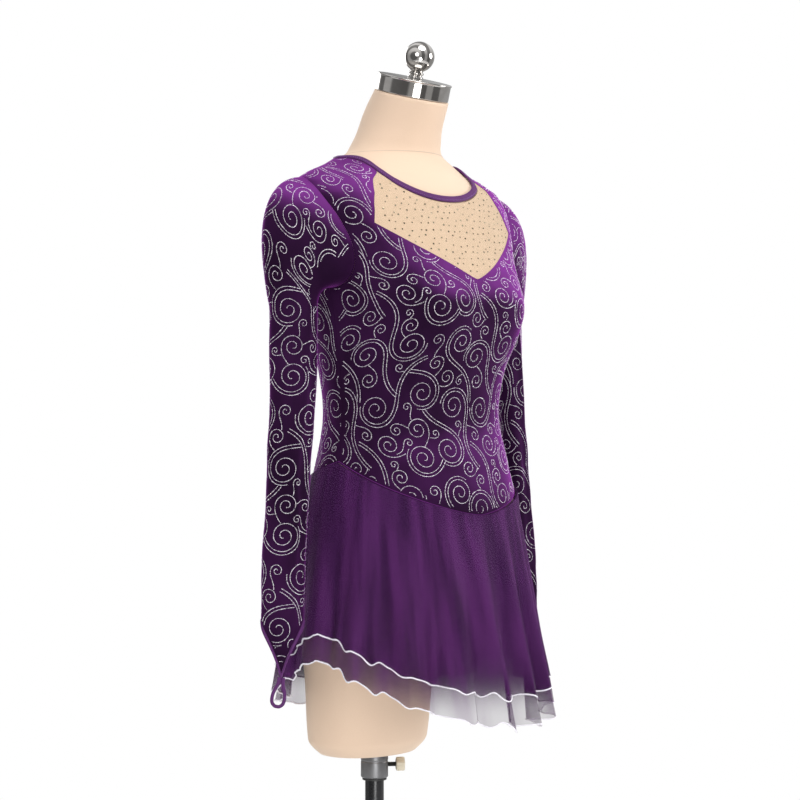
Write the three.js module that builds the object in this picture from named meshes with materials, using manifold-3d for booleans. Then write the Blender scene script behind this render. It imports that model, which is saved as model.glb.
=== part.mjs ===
// A figure skating dress on a limbless dress form, which stands on a pole and a round base.
// Units are millimetres and +Z is up. The dress faces -Y, and the wearer's right arm is at -X.
// The origin is the middle of the base's underside, on the pole's axis.
import * as THREE from 'three';
import { mergeVertices } from 'three/addons/utils/BufferGeometryUtils.js';
import Module from 'manifold-3d';

const DEGREE = Math.PI / 180;

// Driving dimensions of the cloth
const CLOTH = { clear: 0.9, thick: 1.4 };
const SEAM_GAP = 0.3;
const BINDING = { clear: 0.7, thick: 2.6, width: 8.5, edgeGap: 1.5 };
const SKIRT = { thick: 1.1, lowerClear: 0.9, upperClear: 2.4, formGap: 3, flare: 0.85, ease: 8 };
const SKIRT_ROWS = [0, 0.12, 0.28, 0.46, 0.64, 0.82, 1];

// The form is a stack of level sections. Each has its half width in X, the Y of its front,
// back and widest point, and the power of its rounded outline, where 2 is an ellipse.
const FORM_SECTIONS = [
  { z: 604, half: 76, front: -44, back: 68, widest: 12, power: 2.2 },
  { z: 620, half: 84, front: -52, back: 76, widest: 12, power: 2.2 },
  { z: 700, half: 90, front: -62, back: 80, widest: 9, power: 2.2 },
  { z: 790, half: 115, front: -107, back: 84, widest: -10, power: 2.2 },
  { z: 870, half: 138, front: -160, back: 72, widest: -45, power: 2.2 },
  { z: 915, half: 139, front: -181, back: 56, widest: -63, power: 2.2 },
  { z: 970, half: 129, front: -172, back: 38, widest: -67, power: 2.15 },
  { z: 1034, half: 119, front: -159, back: 28, widest: -66, power: 2.1 },
  { z: 1090, half: 124, front: -166, back: 33, widest: -66, power: 2.15 },
  { z: 1130, half: 130, front: -179, back: 40, widest: -66, power: 2.25 },
  { z: 1168, half: 135, front: -183, back: 46, widest: -64, power: 2.35 },
  { z: 1205, half: 142, front: -173, back: 48, widest: -60, power: 2.4 },
  { z: 1240, half: 153, front: -156, back: 47, widest: -56, power: 2.4 },
  { z: 1270, half: 165, front: -140, back: 42, widest: -52, power: 2.3 },
  { z: 1300, half: 172, front: -124, back: 34, widest: -46, power: 2.15 },
  { z: 1318, half: 168, front: -115, back: 28, widest: -42, power: 1.95 },
  { z: 1330, half: 150, front: -108, back: 24, widest: -40, power: 1.75 },
  { z: 1341, half: 122, front: -100, back: 21, widest: -38, power: 1.7 },
  { z: 1352, half: 98, front: -94, back: 20, widest: -37, power: 1.75 },
  { z: 1366, half: 68, front: -91, back: 19, widest: -36, power: 1.9 },
  { z: 1385, half: 57, front: -95, back: 10, widest: -43, power: 2.0 },
  { z: 1405, half: 51.5, front: -101, back: 2, widest: -50, power: 2.0 },
  { z: 1436, half: 47, front: -113, back: -19, widest: -66, power: 2.0 },
];
const FORM_BOTTOM = 600;
const FORM_INSET = 1.2;
const NECK = { start: 1350, top: 1436, tilt: 15.5 * DEGREE };
const CUP = { x: 72, z: 1163, width: 50, height: 46, depth: 14 };

// Seams and edges on the bodice. Angles run from the front (0) through the wearer's left (90)
// to the back (180), and the two sides mirror each other.
const WAIST = { front: 912, side: 977, back: 938, roundness: 1.3, blendTop: 1020 };
const NECKLINE = { front: 1302, side: 1352, back: 1356, roundness: 4 };
const INSERT = [
  { z: 1200, angle: 0 },
  { z: 1266, angle: 45 },
  { z: 1281, angle: 41.5 },
  { z: 1303, angle: 38 },
  { z: 1340, angle: 39.5 },
];
const ARMHOLE = { z: 1256, radius: 66, angle: 25, steps: 8 };

// The right sleeve below its cap: the middle of each section, and its half sizes across the
// broad side, which faces forward and out, and through it.
const SLEEVE_SECTIONS = [
  { z: 1165, x: -193, y: -54, broad: 28.5, thin: 20.5 },
  { z: 1110, x: -195, y: -56, broad: 28.5, thin: 18 },
  { z: 1053, x: -198, y: -58, broad: 27, thin: 17.5 },
  { z: 995, x: -203, y: -58, broad: 26.2, thin: 17 },
  { z: 923, x: -209.5, y: -60, broad: 25, thin: 16.5 },
  { z: 866, x: -216.5, y: -62, broad: 25.5, thin: 16 },
  { z: 795, x: -221, y: -65, broad: 25, thin: 14 },
  { z: 715, x: -225, y: -67, broad: 23, thin: 12 },
];
const SLEEVE_FACING = 135 * DEGREE;
const SLEEVE_COLUMNS = 16;
const SLEEVE_LEVELS = [1165, 1135, 1105, 1075, 1045, 1015, 985, 950, 915, 880];
const SLEEVE_CAP = { rows: 6, out: 0.4, drop: 0.42, bulge: 0.13 };
const CUFF = { wrist: 795, point: 731, band: 8.5, seam: 1.2, proud: 0.6 };
const FINGER_LOOP = { height: 34, half: 9.5, neck: 5.5, opening: 3.6, thick: 2.4, lean: -9 * DEGREE };

// Hem heights of the two skirt layers, and the outline of the hem as seen from above
const HEM = { half: 162, front: -231, back: 92, middle: -66, sideLift: 12, curve: 0.8 };
const HEM_UPPER = { side: 772, front: 695, back: 690 };
const HEM_LOWER = { side: 741, front: 660, back: 655 };
// The crests of the skirt's folds, and how far each stands out at the hem
const SKIRT_FOLDS = [
  { angle: -94, depth: 6 },
  { angle: -70, depth: 9 },
  { angle: -47, depth: 8 },
  { angle: -25, depth: 9 },
  { angle: -6, depth: 12 },
  { angle: 11, depth: 15 },
  { angle: 28, depth: 13 },
  { angle: 45, depth: 6 },
  { angle: 63, depth: 10 },
  { angle: 84, depth: 12 },
  { angle: 108, depth: 12 },
  { angle: 132, depth: 13 },
  { angle: 156, depth: 14 },
  { angle: 180, depth: 14 },
  { angle: 205, depth: 13 },
  { angle: 235, depth: 9 },
];
const FOLD_COLUMNS = 5;

// The hardware of the stand
const POLE = { radius: 12, bottom: 14.3, top: 865 };
const BORE = { radius: 13.6, top: 965 };
const COLLAR = { radius: 17.5, bottom: 570 };
const BUSH = { inner: 12.3, outer: 13.3, flange: 15.6, flangeThick: 3 };
const KNOB = { height: 586, screwRadius: 3, screwEnd: 27, radius: 8.5, length: 11, lobes: 5, angle: -40 };
const BASE = { radius: 180, height: 14, rim: 5, hubRadius: 26, hubHeight: 34, hubTop: 17 };
const NECK_CAP = { radius: 46.5, height: 22, lip: 2, crown: 1 };
const FINIAL = { radius: 19, stem: 8, height: 26.5, ring: 9.6 };

const COLOURS = {
  velvet: { color: 0x3a1457, roughness: 0.85, metalness: 0 },
  chiffon: { color: 0x4a2560, roughness: 0.8, metalness: 0 },
  mesh: { color: 0xdcc0a0, roughness: 0.8, metalness: 0 },
  binding: { color: 0x4b1d68, roughness: 0.7, metalness: 0 },
  jersey: { color: 0xdfc5ab, roughness: 0.9, metalness: 0 },
  chrome: { color: 0xc9c5c2, roughness: 0.12, metalness: 1 },
  greyMetal: { color: 0x8a8a8c, roughness: 0.45, metalness: 0.6 },
  blackMetal: { color: 0x141416, roughness: 0.35, metalness: 0.5 },
  nylon: { color: 0x1c1c1e, roughness: 0.6, metalness: 0 },
  cream: { color: 0xd9cdb4, roughness: 0.4, metalness: 0 },
};

// Smooth curve through a table's column, with no overshoot between its rows
function columnCurve(table, name) {
  const last = table.length - 1;
  const rise = (i) => (table[i + 1][name] - table[i][name]) / (table[i + 1].z - table[i].z);
  const slopes = table.map((row, i) => {
    if (i === 0) return rise(0);
    if (i === last) return rise(last - 1);
    const before = rise(i - 1);
    const after = rise(i);
    return before * after > 0 ? (2 * before * after) / (before + after) : 0;
  });
  const up = table[last].z > table[0].z ? 1 : -1;
  return (z) => {
    let i = 0;
    while (i < last - 1 && up * (z - table[i + 1].z) > 0) i += 1;
    const span = table[i + 1].z - table[i].z;
    const t = Math.min(1, Math.max(0, (z - table[i].z) / span));
    const a = table[i][name] * (1 + 2 * t) * (1 - t) ** 2;
    const b = slopes[i] * span * t * (1 - t) ** 2;
    const c = table[i + 1][name] * t * t * (3 - 2 * t);
    return a + b + c + slopes[i + 1] * span * t * t * (t - 1);
  };
}

function curves(table) {
  const names = Object.keys(table[0]).filter((name) => name !== 'z');
  const made = Object.fromEntries(names.map((name) => [name, columnCurve(table, name)]));
  return (z) => Object.fromEntries(names.map((name) => [name, made[name](z)]));
}

const formAt = curves(FORM_SECTIONS);
const sleeveAt = curves(SLEEVE_SECTIONS);
const smooth = (t) => {
  const k = Math.min(1, Math.max(0, t));
  return k * k * (3 - 2 * k);
};
const mix = (a, b, t) => a + (b - a) * t;

// A point on the form's surface. The neck's sections tip forward towards its top.
function formSurface(angle, z) {
  const s = formAt(z);
  const side = Math.sin(angle);
  const ahead = Math.cos(angle);
  const power = 2 / s.power;
  const x = s.half * Math.sign(side) * Math.abs(side) ** power;
  const reach = Math.abs(ahead) ** power;
  let y = ahead >= 0 ? s.widest - (s.widest - s.front) * reach : s.widest + (s.back - s.widest) * reach;
  const across = (Math.abs(x) - CUP.x) / CUP.width;
  const above = (z - CUP.z) / CUP.height;
  y -= CUP.depth * Math.exp(-across * across - above * above) * Math.min(1, Math.max(0, ahead * 1.6));
  const tipped = smooth((z - NECK.start) / (NECK.top - NECK.start));
  return new THREE.Vector3(x, y, z + (y - s.widest) * Math.tan(NECK.tilt) * tipped);
}

// A point moved straight out from the form's surface
function offForm(angle, z, distance) {
  const step = 0.001;
  const along = formSurface(angle + step, z).sub(formSurface(angle - step, z));
  const up = formSurface(angle, z + 1).sub(formSurface(angle, z - 1));
  const out = along.cross(up).normalize();
  return formSurface(angle, z).addScaledVector(out, distance);
}

// The height that lies a given distance below another on the form's surface
function downSurface(angle, z, distance) {
  const stretch = formSurface(angle, z).distanceTo(formSurface(angle, z - 1));
  return z - distance / stretch;
}

// Shells: a sheet of triangles with an outer and an inner point at each corner
class Sheet {
  constructor() {
    this.outer = [];
    this.inner = [];
    this.triangles = [];
    this.known = new Map();
  }

  point(outer, inner) {
    const key = [outer.x, outer.y, outer.z].map((v) => Math.round(v * 500)).join();
    if (!this.known.has(key)) {
      this.known.set(key, this.outer.length);
      this.outer.push(outer);
      this.inner.push(inner);
    }
    return this.known.get(key);
  }

  triangle(a, b, c) {
    if (a !== b && b !== c && c !== a) this.triangles.push([a, b, c]);
  }

  // Rows of points, joined to each other, and end to end where the rows are closed
  grid(rows, closed = false, flipped = false) {
    const columns = rows[0].length;
    const add = (a, b, c) => (flipped ? this.triangle(a, c, b) : this.triangle(a, b, c));
    const turns = closed ? columns : columns - 1;
    for (let r = 0; r < rows.length - 1; r += 1) {
      for (let c = 0; c < turns; c += 1) {
        const d = (c + 1) % columns;
        add(rows[r][c], rows[r][d], rows[r + 1][d]);
        add(rows[r][c], rows[r + 1][d], rows[r + 1][c]);
      }
    }
  }

  // The closed wall: both faces, and a strip along every open edge
  geometry() {
    const count = this.outer.length;
    const faces = [];
    const edges = new Map();
    for (const [a, b, c] of this.triangles) {
      faces.push([a, b, c], [a + count, c + count, b + count]);
      for (const [p, q] of [[a, b], [b, c], [c, a]]) {
        if (edges.has(`${q},${p}`)) edges.delete(`${q},${p}`);
        else edges.set(`${p},${q}`, [p, q]);
      }
    }
    for (const [p, q] of edges.values()) {
      faces.push([q, p, p + count], [q, p + count, q + count]);
    }
    return closedGeometry([...this.outer, ...this.inner], faces);
  }
}

// A geometry from points and faces, turned so that its faces point out
function closedGeometry(points, faces) {
  let volume = 0;
  for (const [a, b, c] of faces) {
    volume += points[a].dot(new THREE.Vector3().crossVectors(points[b], points[c]));
  }
  const index = faces.flatMap(([a, b, c]) => (volume > 0 ? [a, b, c] : [a, c, b]));
  const geometry = new THREE.BufferGeometry();
  const positions = points.flatMap((p) => [p.x, p.y, p.z]);
  geometry.setAttribute('position', new THREE.Float32BufferAttribute(positions, 3));
  geometry.setIndex(index);
  geometry.computeVertexNormals();
  return geometry;
}

// A closed body through rings of equal count, with a point at each end or joined end to start
function ringBody(rings, ends = null) {
  const points = rings.flat();
  const count = rings[0].length;
  const faces = [];
  const join = (a, b) => {
    for (let c = 0; c < count; c += 1) {
      const d = (c + 1) % count;
      faces.push([a * count + c, a * count + d, b * count + d]);
      faces.push([a * count + c, b * count + d, b * count + c]);
    }
  };
  for (let r = 0; r < rings.length - 1; r += 1) join(r, r + 1);
  if (!ends) {
    join(rings.length - 1, 0);
    return closedGeometry(points, faces);
  }
  const first = points.push(ends[0]) - 1;
  const last = points.push(ends[1]) - 1;
  const top = (rings.length - 1) * count;
  for (let c = 0; c < count; c += 1) {
    const d = (c + 1) % count;
    faces.push([first, d, c], [last, top + c, top + d]);
  }
  return closedGeometry(points, faces);
}

// The bodice's edges, as functions of the angle or of the height
function waistHeight(angle, shift = 0) {
  const share = Math.acos(Math.cos(angle)) / (Math.PI / 2);
  const low = share <= 1 ? WAIST.front : WAIST.back;
  const away = share <= 1 ? share : 2 - share;
  return low + (WAIST.side - low) * away ** WAIST.roundness + shift;
}

function necklineHeight(angle) {
  const ahead = Math.cos(angle);
  if (ahead >= 0) return mix(NECKLINE.side, NECKLINE.front, ahead ** NECKLINE.roundness);
  return mix(NECKLINE.side, NECKLINE.back, -ahead);
}

const bodiceTop = (angle) => {
  const low = downSurface(angle, necklineHeight(angle), BINDING.width / 2);
  return downSurface(angle, low, BINDING.edgeGap);
};

// The inner edge of the front panel: the insert's edge, then the neckline
function frontEdge(z) {
  const last = INSERT[INSERT.length - 1];
  if (z <= INSERT[0].z) return 0;
  if (z < bodiceTop(last.angle * DEGREE)) {
    let i = 0;
    while (i < INSERT.length - 2 && z > INSERT[i + 1].z) i += 1;
    const t = (z - INSERT[i].z) / (INSERT[i + 1].z - INSERT[i].z);
    return mix(INSERT[i].angle, INSERT[i + 1].angle, t) * DEGREE;
  }
  let low = last.angle * DEGREE;
  let high = Math.PI / 2;
  for (let n = 0; n < 40; n += 1) {
    const middle = (low + high) / 2;
    if (bodiceTop(middle) < z) low = middle;
    else high = middle;
  }
  return (low + high) / 2;
}

// The armhole is an ellipse of angle and height, drawn with a fixed number of steps
const armholeTurn = (step) => (step * Math.PI) / ARMHOLE.steps;
const ARMHOLE_HEIGHTS = Array.from(
  { length: ARMHOLE.steps + 1 },
  (_, i) => ARMHOLE.z - ARMHOLE.radius * Math.cos(armholeTurn(i)),
);

function armholeReach(z) {
  for (let i = 0; i < ARMHOLE.steps; i += 1) {
    const low = ARMHOLE_HEIGHTS[i];
    const high = ARMHOLE_HEIGHTS[i + 1];
    if (z >= low && z <= high) {
      const reach = (n) => ARMHOLE.angle * DEGREE * Math.sin(armholeTurn(n));
      return mix(reach(i), reach(i + 1), (z - low) / (high - low));
    }
  }
  return 0;
}

const BODICE_LEVELS = [1058, 1098, 1136, 1168, ...ARMHOLE_HEIGHTS, INSERT[0].z, INSERT[1].z];
BODICE_LEVELS.sort((a, b) => a - b);
const SHOULDER_LEVELS = [1328, 1333, 1338, 1343, 1347];
const WAIST_ROWS = 3;
const FORM_COLUMNS = 32;
const FORM_LEVELS = [604, 620, 660, 700, 740, 780, 820, 850, 880, 915, 942, 970, 995, 1020,
  ...BODICE_LEVELS, 1330, 1338, 1346, 1354, 1362, 1372, 1385, 1402, 1418];

// Rows of a half panel, from its middle edge to its side edge
function halfPanel(sheet, innerEdge, sign, columns, ahead) {
  const top = bodiceTop(Math.PI / 2);
  const levels = [...BODICE_LEVELS, ...SHOULDER_LEVELS, top];
  const rows = [];
  const side = Math.PI / 2;
  const place = (angle, z, isSide) => {
    const push = isSide ? -ahead * SEAM_GAP * 0.7 : 0;
    const outer = offForm(angle, z, CLOTH.clear + CLOTH.thick);
    const inner = offForm(angle, z, CLOTH.clear);
    outer.y += push;
    inner.y += push;
    return sheet.point(outer, inner);
  };
  const row = (heightOf, from, to) => {
    const made = [];
    for (let c = 0; c <= columns; c += 1) {
      const turn = mix(from, to, c / columns);
      const angle = ahead > 0 ? turn : Math.PI - turn;
      made.push(place(sign * angle, heightOf(angle), side - turn < 1e-6));
    }
    rows.push(made);
  };
  for (let r = 0; r <= WAIST_ROWS; r += 1) {
    const share = r / WAIST_ROWS;
    row((angle) => mix(waistHeight(angle, SEAM_GAP / 2), WAIST.blendTop, share), 0, side);
  }
  levels.forEach((z, i) => {
    const last = i === levels.length - 1;
    const heightOf = (angle) => (last ? bodiceTop(angle) : z);
    row(heightOf, innerEdge(last ? levels[i - 1] : z), side - armholeReach(z));
  });
  sheet.grid(rows, false, sign < 0);
}

function bodiceFront() {
  const sheet = new Sheet();
  halfPanel(sheet, frontEdge, 1, 8, 1);
  halfPanel(sheet, frontEdge, -1, 8, 1);
  return sheet;
}

function bodiceBack() {
  const sheet = new Sheet();
  halfPanel(sheet, () => 0, 1, 7, -1);
  halfPanel(sheet, () => 0, -1, 7, -1);
  return sheet;
}

// The see-through yoke, cut to the front panel's opening
function meshInsert() {
  const sheet = new Sheet();
  const columns = 10;
  const straight = BODICE_LEVELS.filter((z) => z > INSERT[0].z && z < INSERT[2].z + 1);
  const curved = BODICE_LEVELS.filter((z) => z > INSERT[2].z + 1 && z < 1320);
  const base = straight[straight.length - 1];
  const rows = [];
  const row = (limit, heightOf) => {
    const made = [];
    for (let c = 0; c <= columns; c += 1) {
      const angle = limit * ((2 * c) / columns - 1);
      const z = heightOf(angle);
      const outer = offForm(angle, z, CLOTH.clear + CLOTH.thick);
      made.push(sheet.point(outer, offForm(angle, z, CLOTH.clear)));
    }
    rows.push(made);
  };
  const inset = (z) => frontEdge(z) - (SEAM_GAP * 1.6) / 115;
  row(0, () => INSERT[0].z + SEAM_GAP * 2);
  for (const z of straight) row(inset(z), () => z);
  for (const z of curved) {
    const limit = inset(z);
    const share = (z - base) / (bodiceTop(limit) - base);
    row(limit, (angle) => mix(base, bodiceTop(angle), share));
  }
  sheet.grid(rows);
  return sheet.geometry();
}

// The bound neckline, a flat band that runs all round the neck
function neckBinding() {
  const stations = 48;
  const rings = [];
  for (let i = 0; i < stations; i += 1) {
    const angle = ((i + 0.5) / stations) * 2 * Math.PI;
    const low = downSurface(angle, necklineHeight(angle), BINDING.width / 2);
    const high = downSurface(angle, necklineHeight(angle), -BINDING.width / 2);
    const outside = BINDING.clear + BINDING.thick;
    rings.push([
      offForm(angle, low, BINDING.clear),
      offForm(angle, low, outside),
      offForm(angle, high, outside),
      offForm(angle, high, BINDING.clear),
    ]);
  }
  return ringBody(rings);
}

// The right sleeve's rings. Each ring starts under the arm and goes round by the front.
const sleeveTurn = (column) => (column * 2 * Math.PI) / SLEEVE_COLUMNS;

function armholePoint(turn) {
  const angle = -(Math.PI / 2 - ARMHOLE.angle * DEGREE * 0.975 * Math.sin(turn));
  const z = ARMHOLE.z - ARMHOLE.radius * 0.985 * Math.cos(turn);
  return offForm(angle, z, CLOTH.clear + CLOTH.thick / 2);
}

function tubePoint(turn, z) {
  const s = sleeveAt(z);
  const direction = new THREE.Vector3(Math.cos(turn), -Math.sin(turn), 0);
  const broad = (direction.x - direction.y) / Math.SQRT2 / s.broad;
  const thin = (direction.x + direction.y) / Math.SQRT2 / s.thin;
  return new THREE.Vector3(s.x, s.y, z).addScaledVector(direction, 1 / Math.hypot(broad, thin));
}

function capPoint(turn, t) {
  const start = armholePoint(turn);
  const end = tubePoint(turn, SLEEVE_SECTIONS[0].z);
  const span = start.distanceTo(end);
  const over = (1 - Math.cos(turn)) / 2;
  const leaving = start.clone().add(new THREE.Vector3(-SLEEVE_CAP.out * span, 0, 0));
  const bulge = -SLEEVE_CAP.bulge * span * over;
  const arriving = end.clone().add(new THREE.Vector3(bulge, 0, SLEEVE_CAP.drop * span));
  return new THREE.CubicBezierCurve3(start, leaving, arriving, end).getPoint(t);
}

function cuffHeight(turn) {
  const away = Math.abs(turn - SLEEVE_FACING) / (Math.PI / 2);
  return CUFF.wrist - (CUFF.wrist - CUFF.point) * Math.max(0, 1 - away);
}

const turns = Array.from({ length: SLEEVE_COLUMNS }, (_, column) => sleeveTurn(column));

// Both faces of one ring of a tube, worked out from the ring's middle
function addRing(sheet, points, outward, inward) {
  const middle = points.reduce((sum, p) => sum.add(p), new THREE.Vector3()).divideScalar(points.length);
  return points.map((p) => {
    const out = p.clone().sub(middle).normalize();
    return sheet.point(p.clone().addScaledVector(out, outward), p.clone().addScaledVector(out, -inward));
  });
}

function sleeve() {
  const sheet = new Sheet();
  const half = CLOTH.thick / 2;
  const rows = [];
  for (let r = 0; r < SLEEVE_CAP.rows; r += 1) {
    const points = turns.map((turn) => capPoint(turn, r / SLEEVE_CAP.rows));
    rows.push(addRing(sheet, points, half, half));
  }
  for (const z of SLEEVE_LEVELS) {
    rows.push(addRing(sheet, turns.map((turn) => tubePoint(turn, z)), half, half));
  }
  const lowest = SLEEVE_LEVELS[SLEEVE_LEVELS.length - 1];
  for (const share of [1 / 3, 2 / 3, 1]) {
    const points = turns.map((turn) => tubePoint(turn, mix(lowest, cuffHeight(turn), share)));
    rows.push(wristRing(sheet, points, half, half));
  }
  sheet.grid(rows, true);
  return sheet.geometry();
}

// Rings near the wrist aren't level, so each point moves straight out at its own height
function wristRing(sheet, points, outward, inward) {
  return points.map((p) => {
    const s = sleeveAt(p.z);
    const out = new THREE.Vector3(p.x - s.x, p.y - s.y, 0).normalize();
    return sheet.point(p.clone().addScaledVector(out, outward), p.clone().addScaledVector(out, -inward));
  });
}

function cuffBinding() {
  const sheet = new Sheet();
  const half = CLOTH.thick / 2;
  const rows = [CUFF.seam, CUFF.band].map((drop) => {
    const points = turns.map((turn) => tubePoint(turn, cuffHeight(turn) - drop));
    return wristRing(sheet, points, half + CUFF.proud, half);
  });
  sheet.grid(rows, true);
  return sheet.geometry();
}

// The loop that holds the cuff on the middle finger, hung from the cuff's point
function fingerLoop() {
  const { height, half, opening, thick, neck } = FINGER_LOOP;
  const outline = new THREE.Shape();
  outline.moveTo(-neck, 0);
  outline.bezierCurveTo(-neck, -height * 0.3, -half, -height * 0.45, -half, -height * 0.68);
  outline.bezierCurveTo(-half, -height * 0.9, -half * 0.6, -height, 0, -height);
  outline.bezierCurveTo(half * 0.6, -height, half, -height * 0.9, half, -height * 0.68);
  outline.bezierCurveTo(half, -height * 0.45, neck, -height * 0.3, neck, 0);
  outline.closePath();
  const hole = new THREE.Path();
  hole.moveTo(0, -height * 0.2);
  hole.bezierCurveTo(opening, -height * 0.4, opening * 1.5, -height * 0.8, 0, -height * 0.84);
  hole.bezierCurveTo(-opening * 1.5, -height * 0.8, -opening, -height * 0.4, 0, -height * 0.2);
  outline.holes.push(hole);
  const settings = { depth: thick, bevelEnabled: false, curveSegments: 6 };
  const geometry = new THREE.ExtrudeGeometry(outline, settings).rotateZ(FINGER_LOOP.lean);
  const top = CUFF.point - CUFF.band - SEAM_GAP;
  const s = sleeveAt(top);
  const across = new THREE.Vector3(1, -1, 0).normalize();
  const facing = new THREE.Vector3(-1, -1, 0).normalize();
  const origin = new THREE.Vector3(s.x, s.y, top).addScaledVector(facing, s.thin - thick / 2);
  const placing = new THREE.Matrix4().makeBasis(across, new THREE.Vector3(0, 0, 1), facing);
  return geometry.applyMatrix4(placing.setPosition(origin));
}

// The same piece on the wearer's other side
function mirrored(geometry) {
  const merged = geometry.index ? geometry.clone() : mergeVertices(positionsOnly(geometry));
  const position = merged.getAttribute('position');
  const points = [];
  for (let i = 0; i < position.count; i += 1) {
    points.push(new THREE.Vector3(-position.getX(i), position.getY(i), position.getZ(i)));
  }
  const faces = [];
  const index = merged.index.array;
  for (let i = 0; i < index.length; i += 3) faces.push([index[i], index[i + 1], index[i + 2]]);
  return closedGeometry(points, faces);
}

function positionsOnly(geometry) {
  const bare = geometry.clone();
  bare.deleteAttribute('normal');
  bare.deleteAttribute('uv');
  return bare;
}

// The skirt hangs from the waist seam to its hem outline and stands off the hips
function hemHeight(angle, hem) {
  const ahead = Math.cos(angle);
  const end = ahead >= 0 ? hem.front : hem.back;
  return hem.side - (hem.side - end) * Math.abs(ahead) ** HEM.curve - HEM.sideLift * Math.sin(angle);
}

// The folds run as a wave from crest to crest
const crestAngle = (i) => {
  const turns = Math.floor(i / SKIRT_FOLDS.length);
  return (SKIRT_FOLDS[i - turns * SKIRT_FOLDS.length].angle + 360 * turns) * DEGREE;
};
const crestDepth = (i) => SKIRT_FOLDS[i % SKIRT_FOLDS.length].depth;

function foldDepth(angle) {
  let turn = angle;
  while (turn < crestAngle(0)) turn += 2 * Math.PI;
  while (turn >= crestAngle(SKIRT_FOLDS.length)) turn -= 2 * Math.PI;
  let i = 0;
  while (turn >= crestAngle(i + 1)) i += 1;
  const share = (turn - crestAngle(i)) / (crestAngle(i + 1) - crestAngle(i));
  return mix(crestDepth(i), crestDepth(i + 1), share) * Math.cos(2 * Math.PI * share);
}

function skirtPoint(angle, drop, distance) {
  const seam = waistHeight(angle, -SEAM_GAP / 2);
  const share = drop / (seam - hemHeight(angle, HEM_UPPER));
  const z = seam - drop;
  const top = offForm(angle, seam, distance);
  const reach = Math.cos(angle) >= 0 ? HEM.front - HEM.middle : HEM.middle - HEM.back;
  const hem = new THREE.Vector3(HEM.half * Math.sin(angle), HEM.middle + reach * Math.cos(angle), z);
  const point = top.lerp(hem, share ** SKIRT.flare).setZ(z);
  const middle = new THREE.Vector3(0, formAt(z).widest, z);
  const out = point.clone().sub(middle).setZ(0);
  const length = out.length() + distance * share + foldDepth(angle) * share ** 1.3;
  const limit = offForm(angle, z, SKIRT.formGap + distance).sub(middle).setZ(0).length();
  const clear = (length + limit + Math.hypot(length - limit, SKIRT.ease * share)) / 2;
  return middle.addScaledVector(out.normalize(), clear);
}

function skirtLayer(hem, distance) {
  const sheet = new Sheet();
  const shares = hem === HEM_UPPER ? SKIRT_ROWS : [...SKIRT_ROWS, null];
  // A row without a share is the layer's own hem, below the rows that both layers have
  const rows = shares.map((share) => {
    const row = [];
    for (let c = 0; c < SKIRT_FOLDS.length * FOLD_COLUMNS; c += 1) {
      const crest = Math.floor(c / FOLD_COLUMNS);
      const angle = mix(crestAngle(crest), crestAngle(crest + 1), (c % FOLD_COLUMNS) / FOLD_COLUMNS);
      const seam = waistHeight(angle, -SEAM_GAP / 2);
      const length = seam - hemHeight(angle, share === null ? hem : HEM_UPPER);
      const drop = share === null ? length : share * length;
      const inner = skirtPoint(angle, drop, distance);
      row.push(sheet.point(skirtPoint(angle, drop, distance + SKIRT.thick), inner));
    }
    return row;
  });
  sheet.grid(rows, true);
  return sheet.geometry();
}

// The form is one padded body with a bore for the pole
function formBody() {
  const ring = (z, scale = 1) => formTurns.map((angle) => {
    const p = offForm(angle, z, -FORM_INSET);
    const widest = formAt(z).widest;
    return new THREE.Vector3(p.x * scale, widest + (p.y - widest) * scale, p.z);
  });
  const level = (radius, z) => formTurns.map(
    (angle) => new THREE.Vector3(radius * Math.sin(angle), -radius * Math.cos(angle), z),
  );
  const foot = ring(FORM_SECTIONS[0].z, 0.86).map((p) => p.setZ(FORM_BOTTOM));
  const top = ring(NECK.top);
  const crown = top.reduce((sum, p) => sum.add(p), new THREE.Vector3()).divideScalar(top.length);
  const rings = [level(BORE.radius, BORE.top), level(BORE.radius, FORM_BOTTOM), foot];
  for (const z of FORM_LEVELS) rings.push(ring(z, z === FORM_LEVELS[0] ? 0.95 : 1));
  return ringBody([...rings, top], [new THREE.Vector3(0, 0, BORE.top), crown]);
}

const formTurns = Array.from({ length: FORM_COLUMNS }, (_, i) => (i / FORM_COLUMNS) * 2 * Math.PI);

// Turned pieces of the stand and the neck cap
const lathe = (profile, segments) => new THREE.LatheGeometry(
  profile.map(([r, z]) => new THREE.Vector2(r, z)),
  segments,
).rotateX(Math.PI / 2);

const pole = () => new THREE.CylinderGeometry(POLE.radius, POLE.radius, POLE.top - POLE.bottom, 28)
  .rotateX(Math.PI / 2)
  .translate(0, 0, (POLE.top + POLE.bottom) / 2);

// The collar and the bush have a cross hole for the clamp's screw
function withScrewHole(geometry, radius) {
  const hole = new THREE.CylinderGeometry(radius, radius, 40, 16).translate(0, 20, 0);
  return subtract(geometry, placeOnScrew(hole));
}

// Moves a shape from the Y axis to the clamp screw's axis, where +Y points away from the pole
function placeOnScrew(geometry) {
  return geometry.rotateZ(KNOB.angle * DEGREE - Math.PI / 2).translate(0, 0, KNOB.height);
}

function collar() {
  const top = FORM_BOTTOM - SEAM_GAP;
  const { radius, bottom } = COLLAR;
  const profile = [[BORE.radius, bottom], [radius - 1, bottom], [radius, bottom + 1], [radius, top],
    [BORE.radius, top], [BORE.radius, bottom]];
  return withScrewHole(lathe(profile, 32), KNOB.screwRadius + SEAM_GAP);
}

function bush() {
  const seat = COLLAR.bottom - SEAM_GAP;
  const { inner, outer, flange, flangeThick } = BUSH;
  const profile = [[inner, seat - flangeThick], [flange, seat - flangeThick], [flange, seat],
    [outer, seat], [outer, FORM_BOTTOM - SEAM_GAP], [inner, FORM_BOTTOM - SEAM_GAP],
    [inner, seat - flangeThick]];
  return lathe(profile, 28);
}

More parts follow.
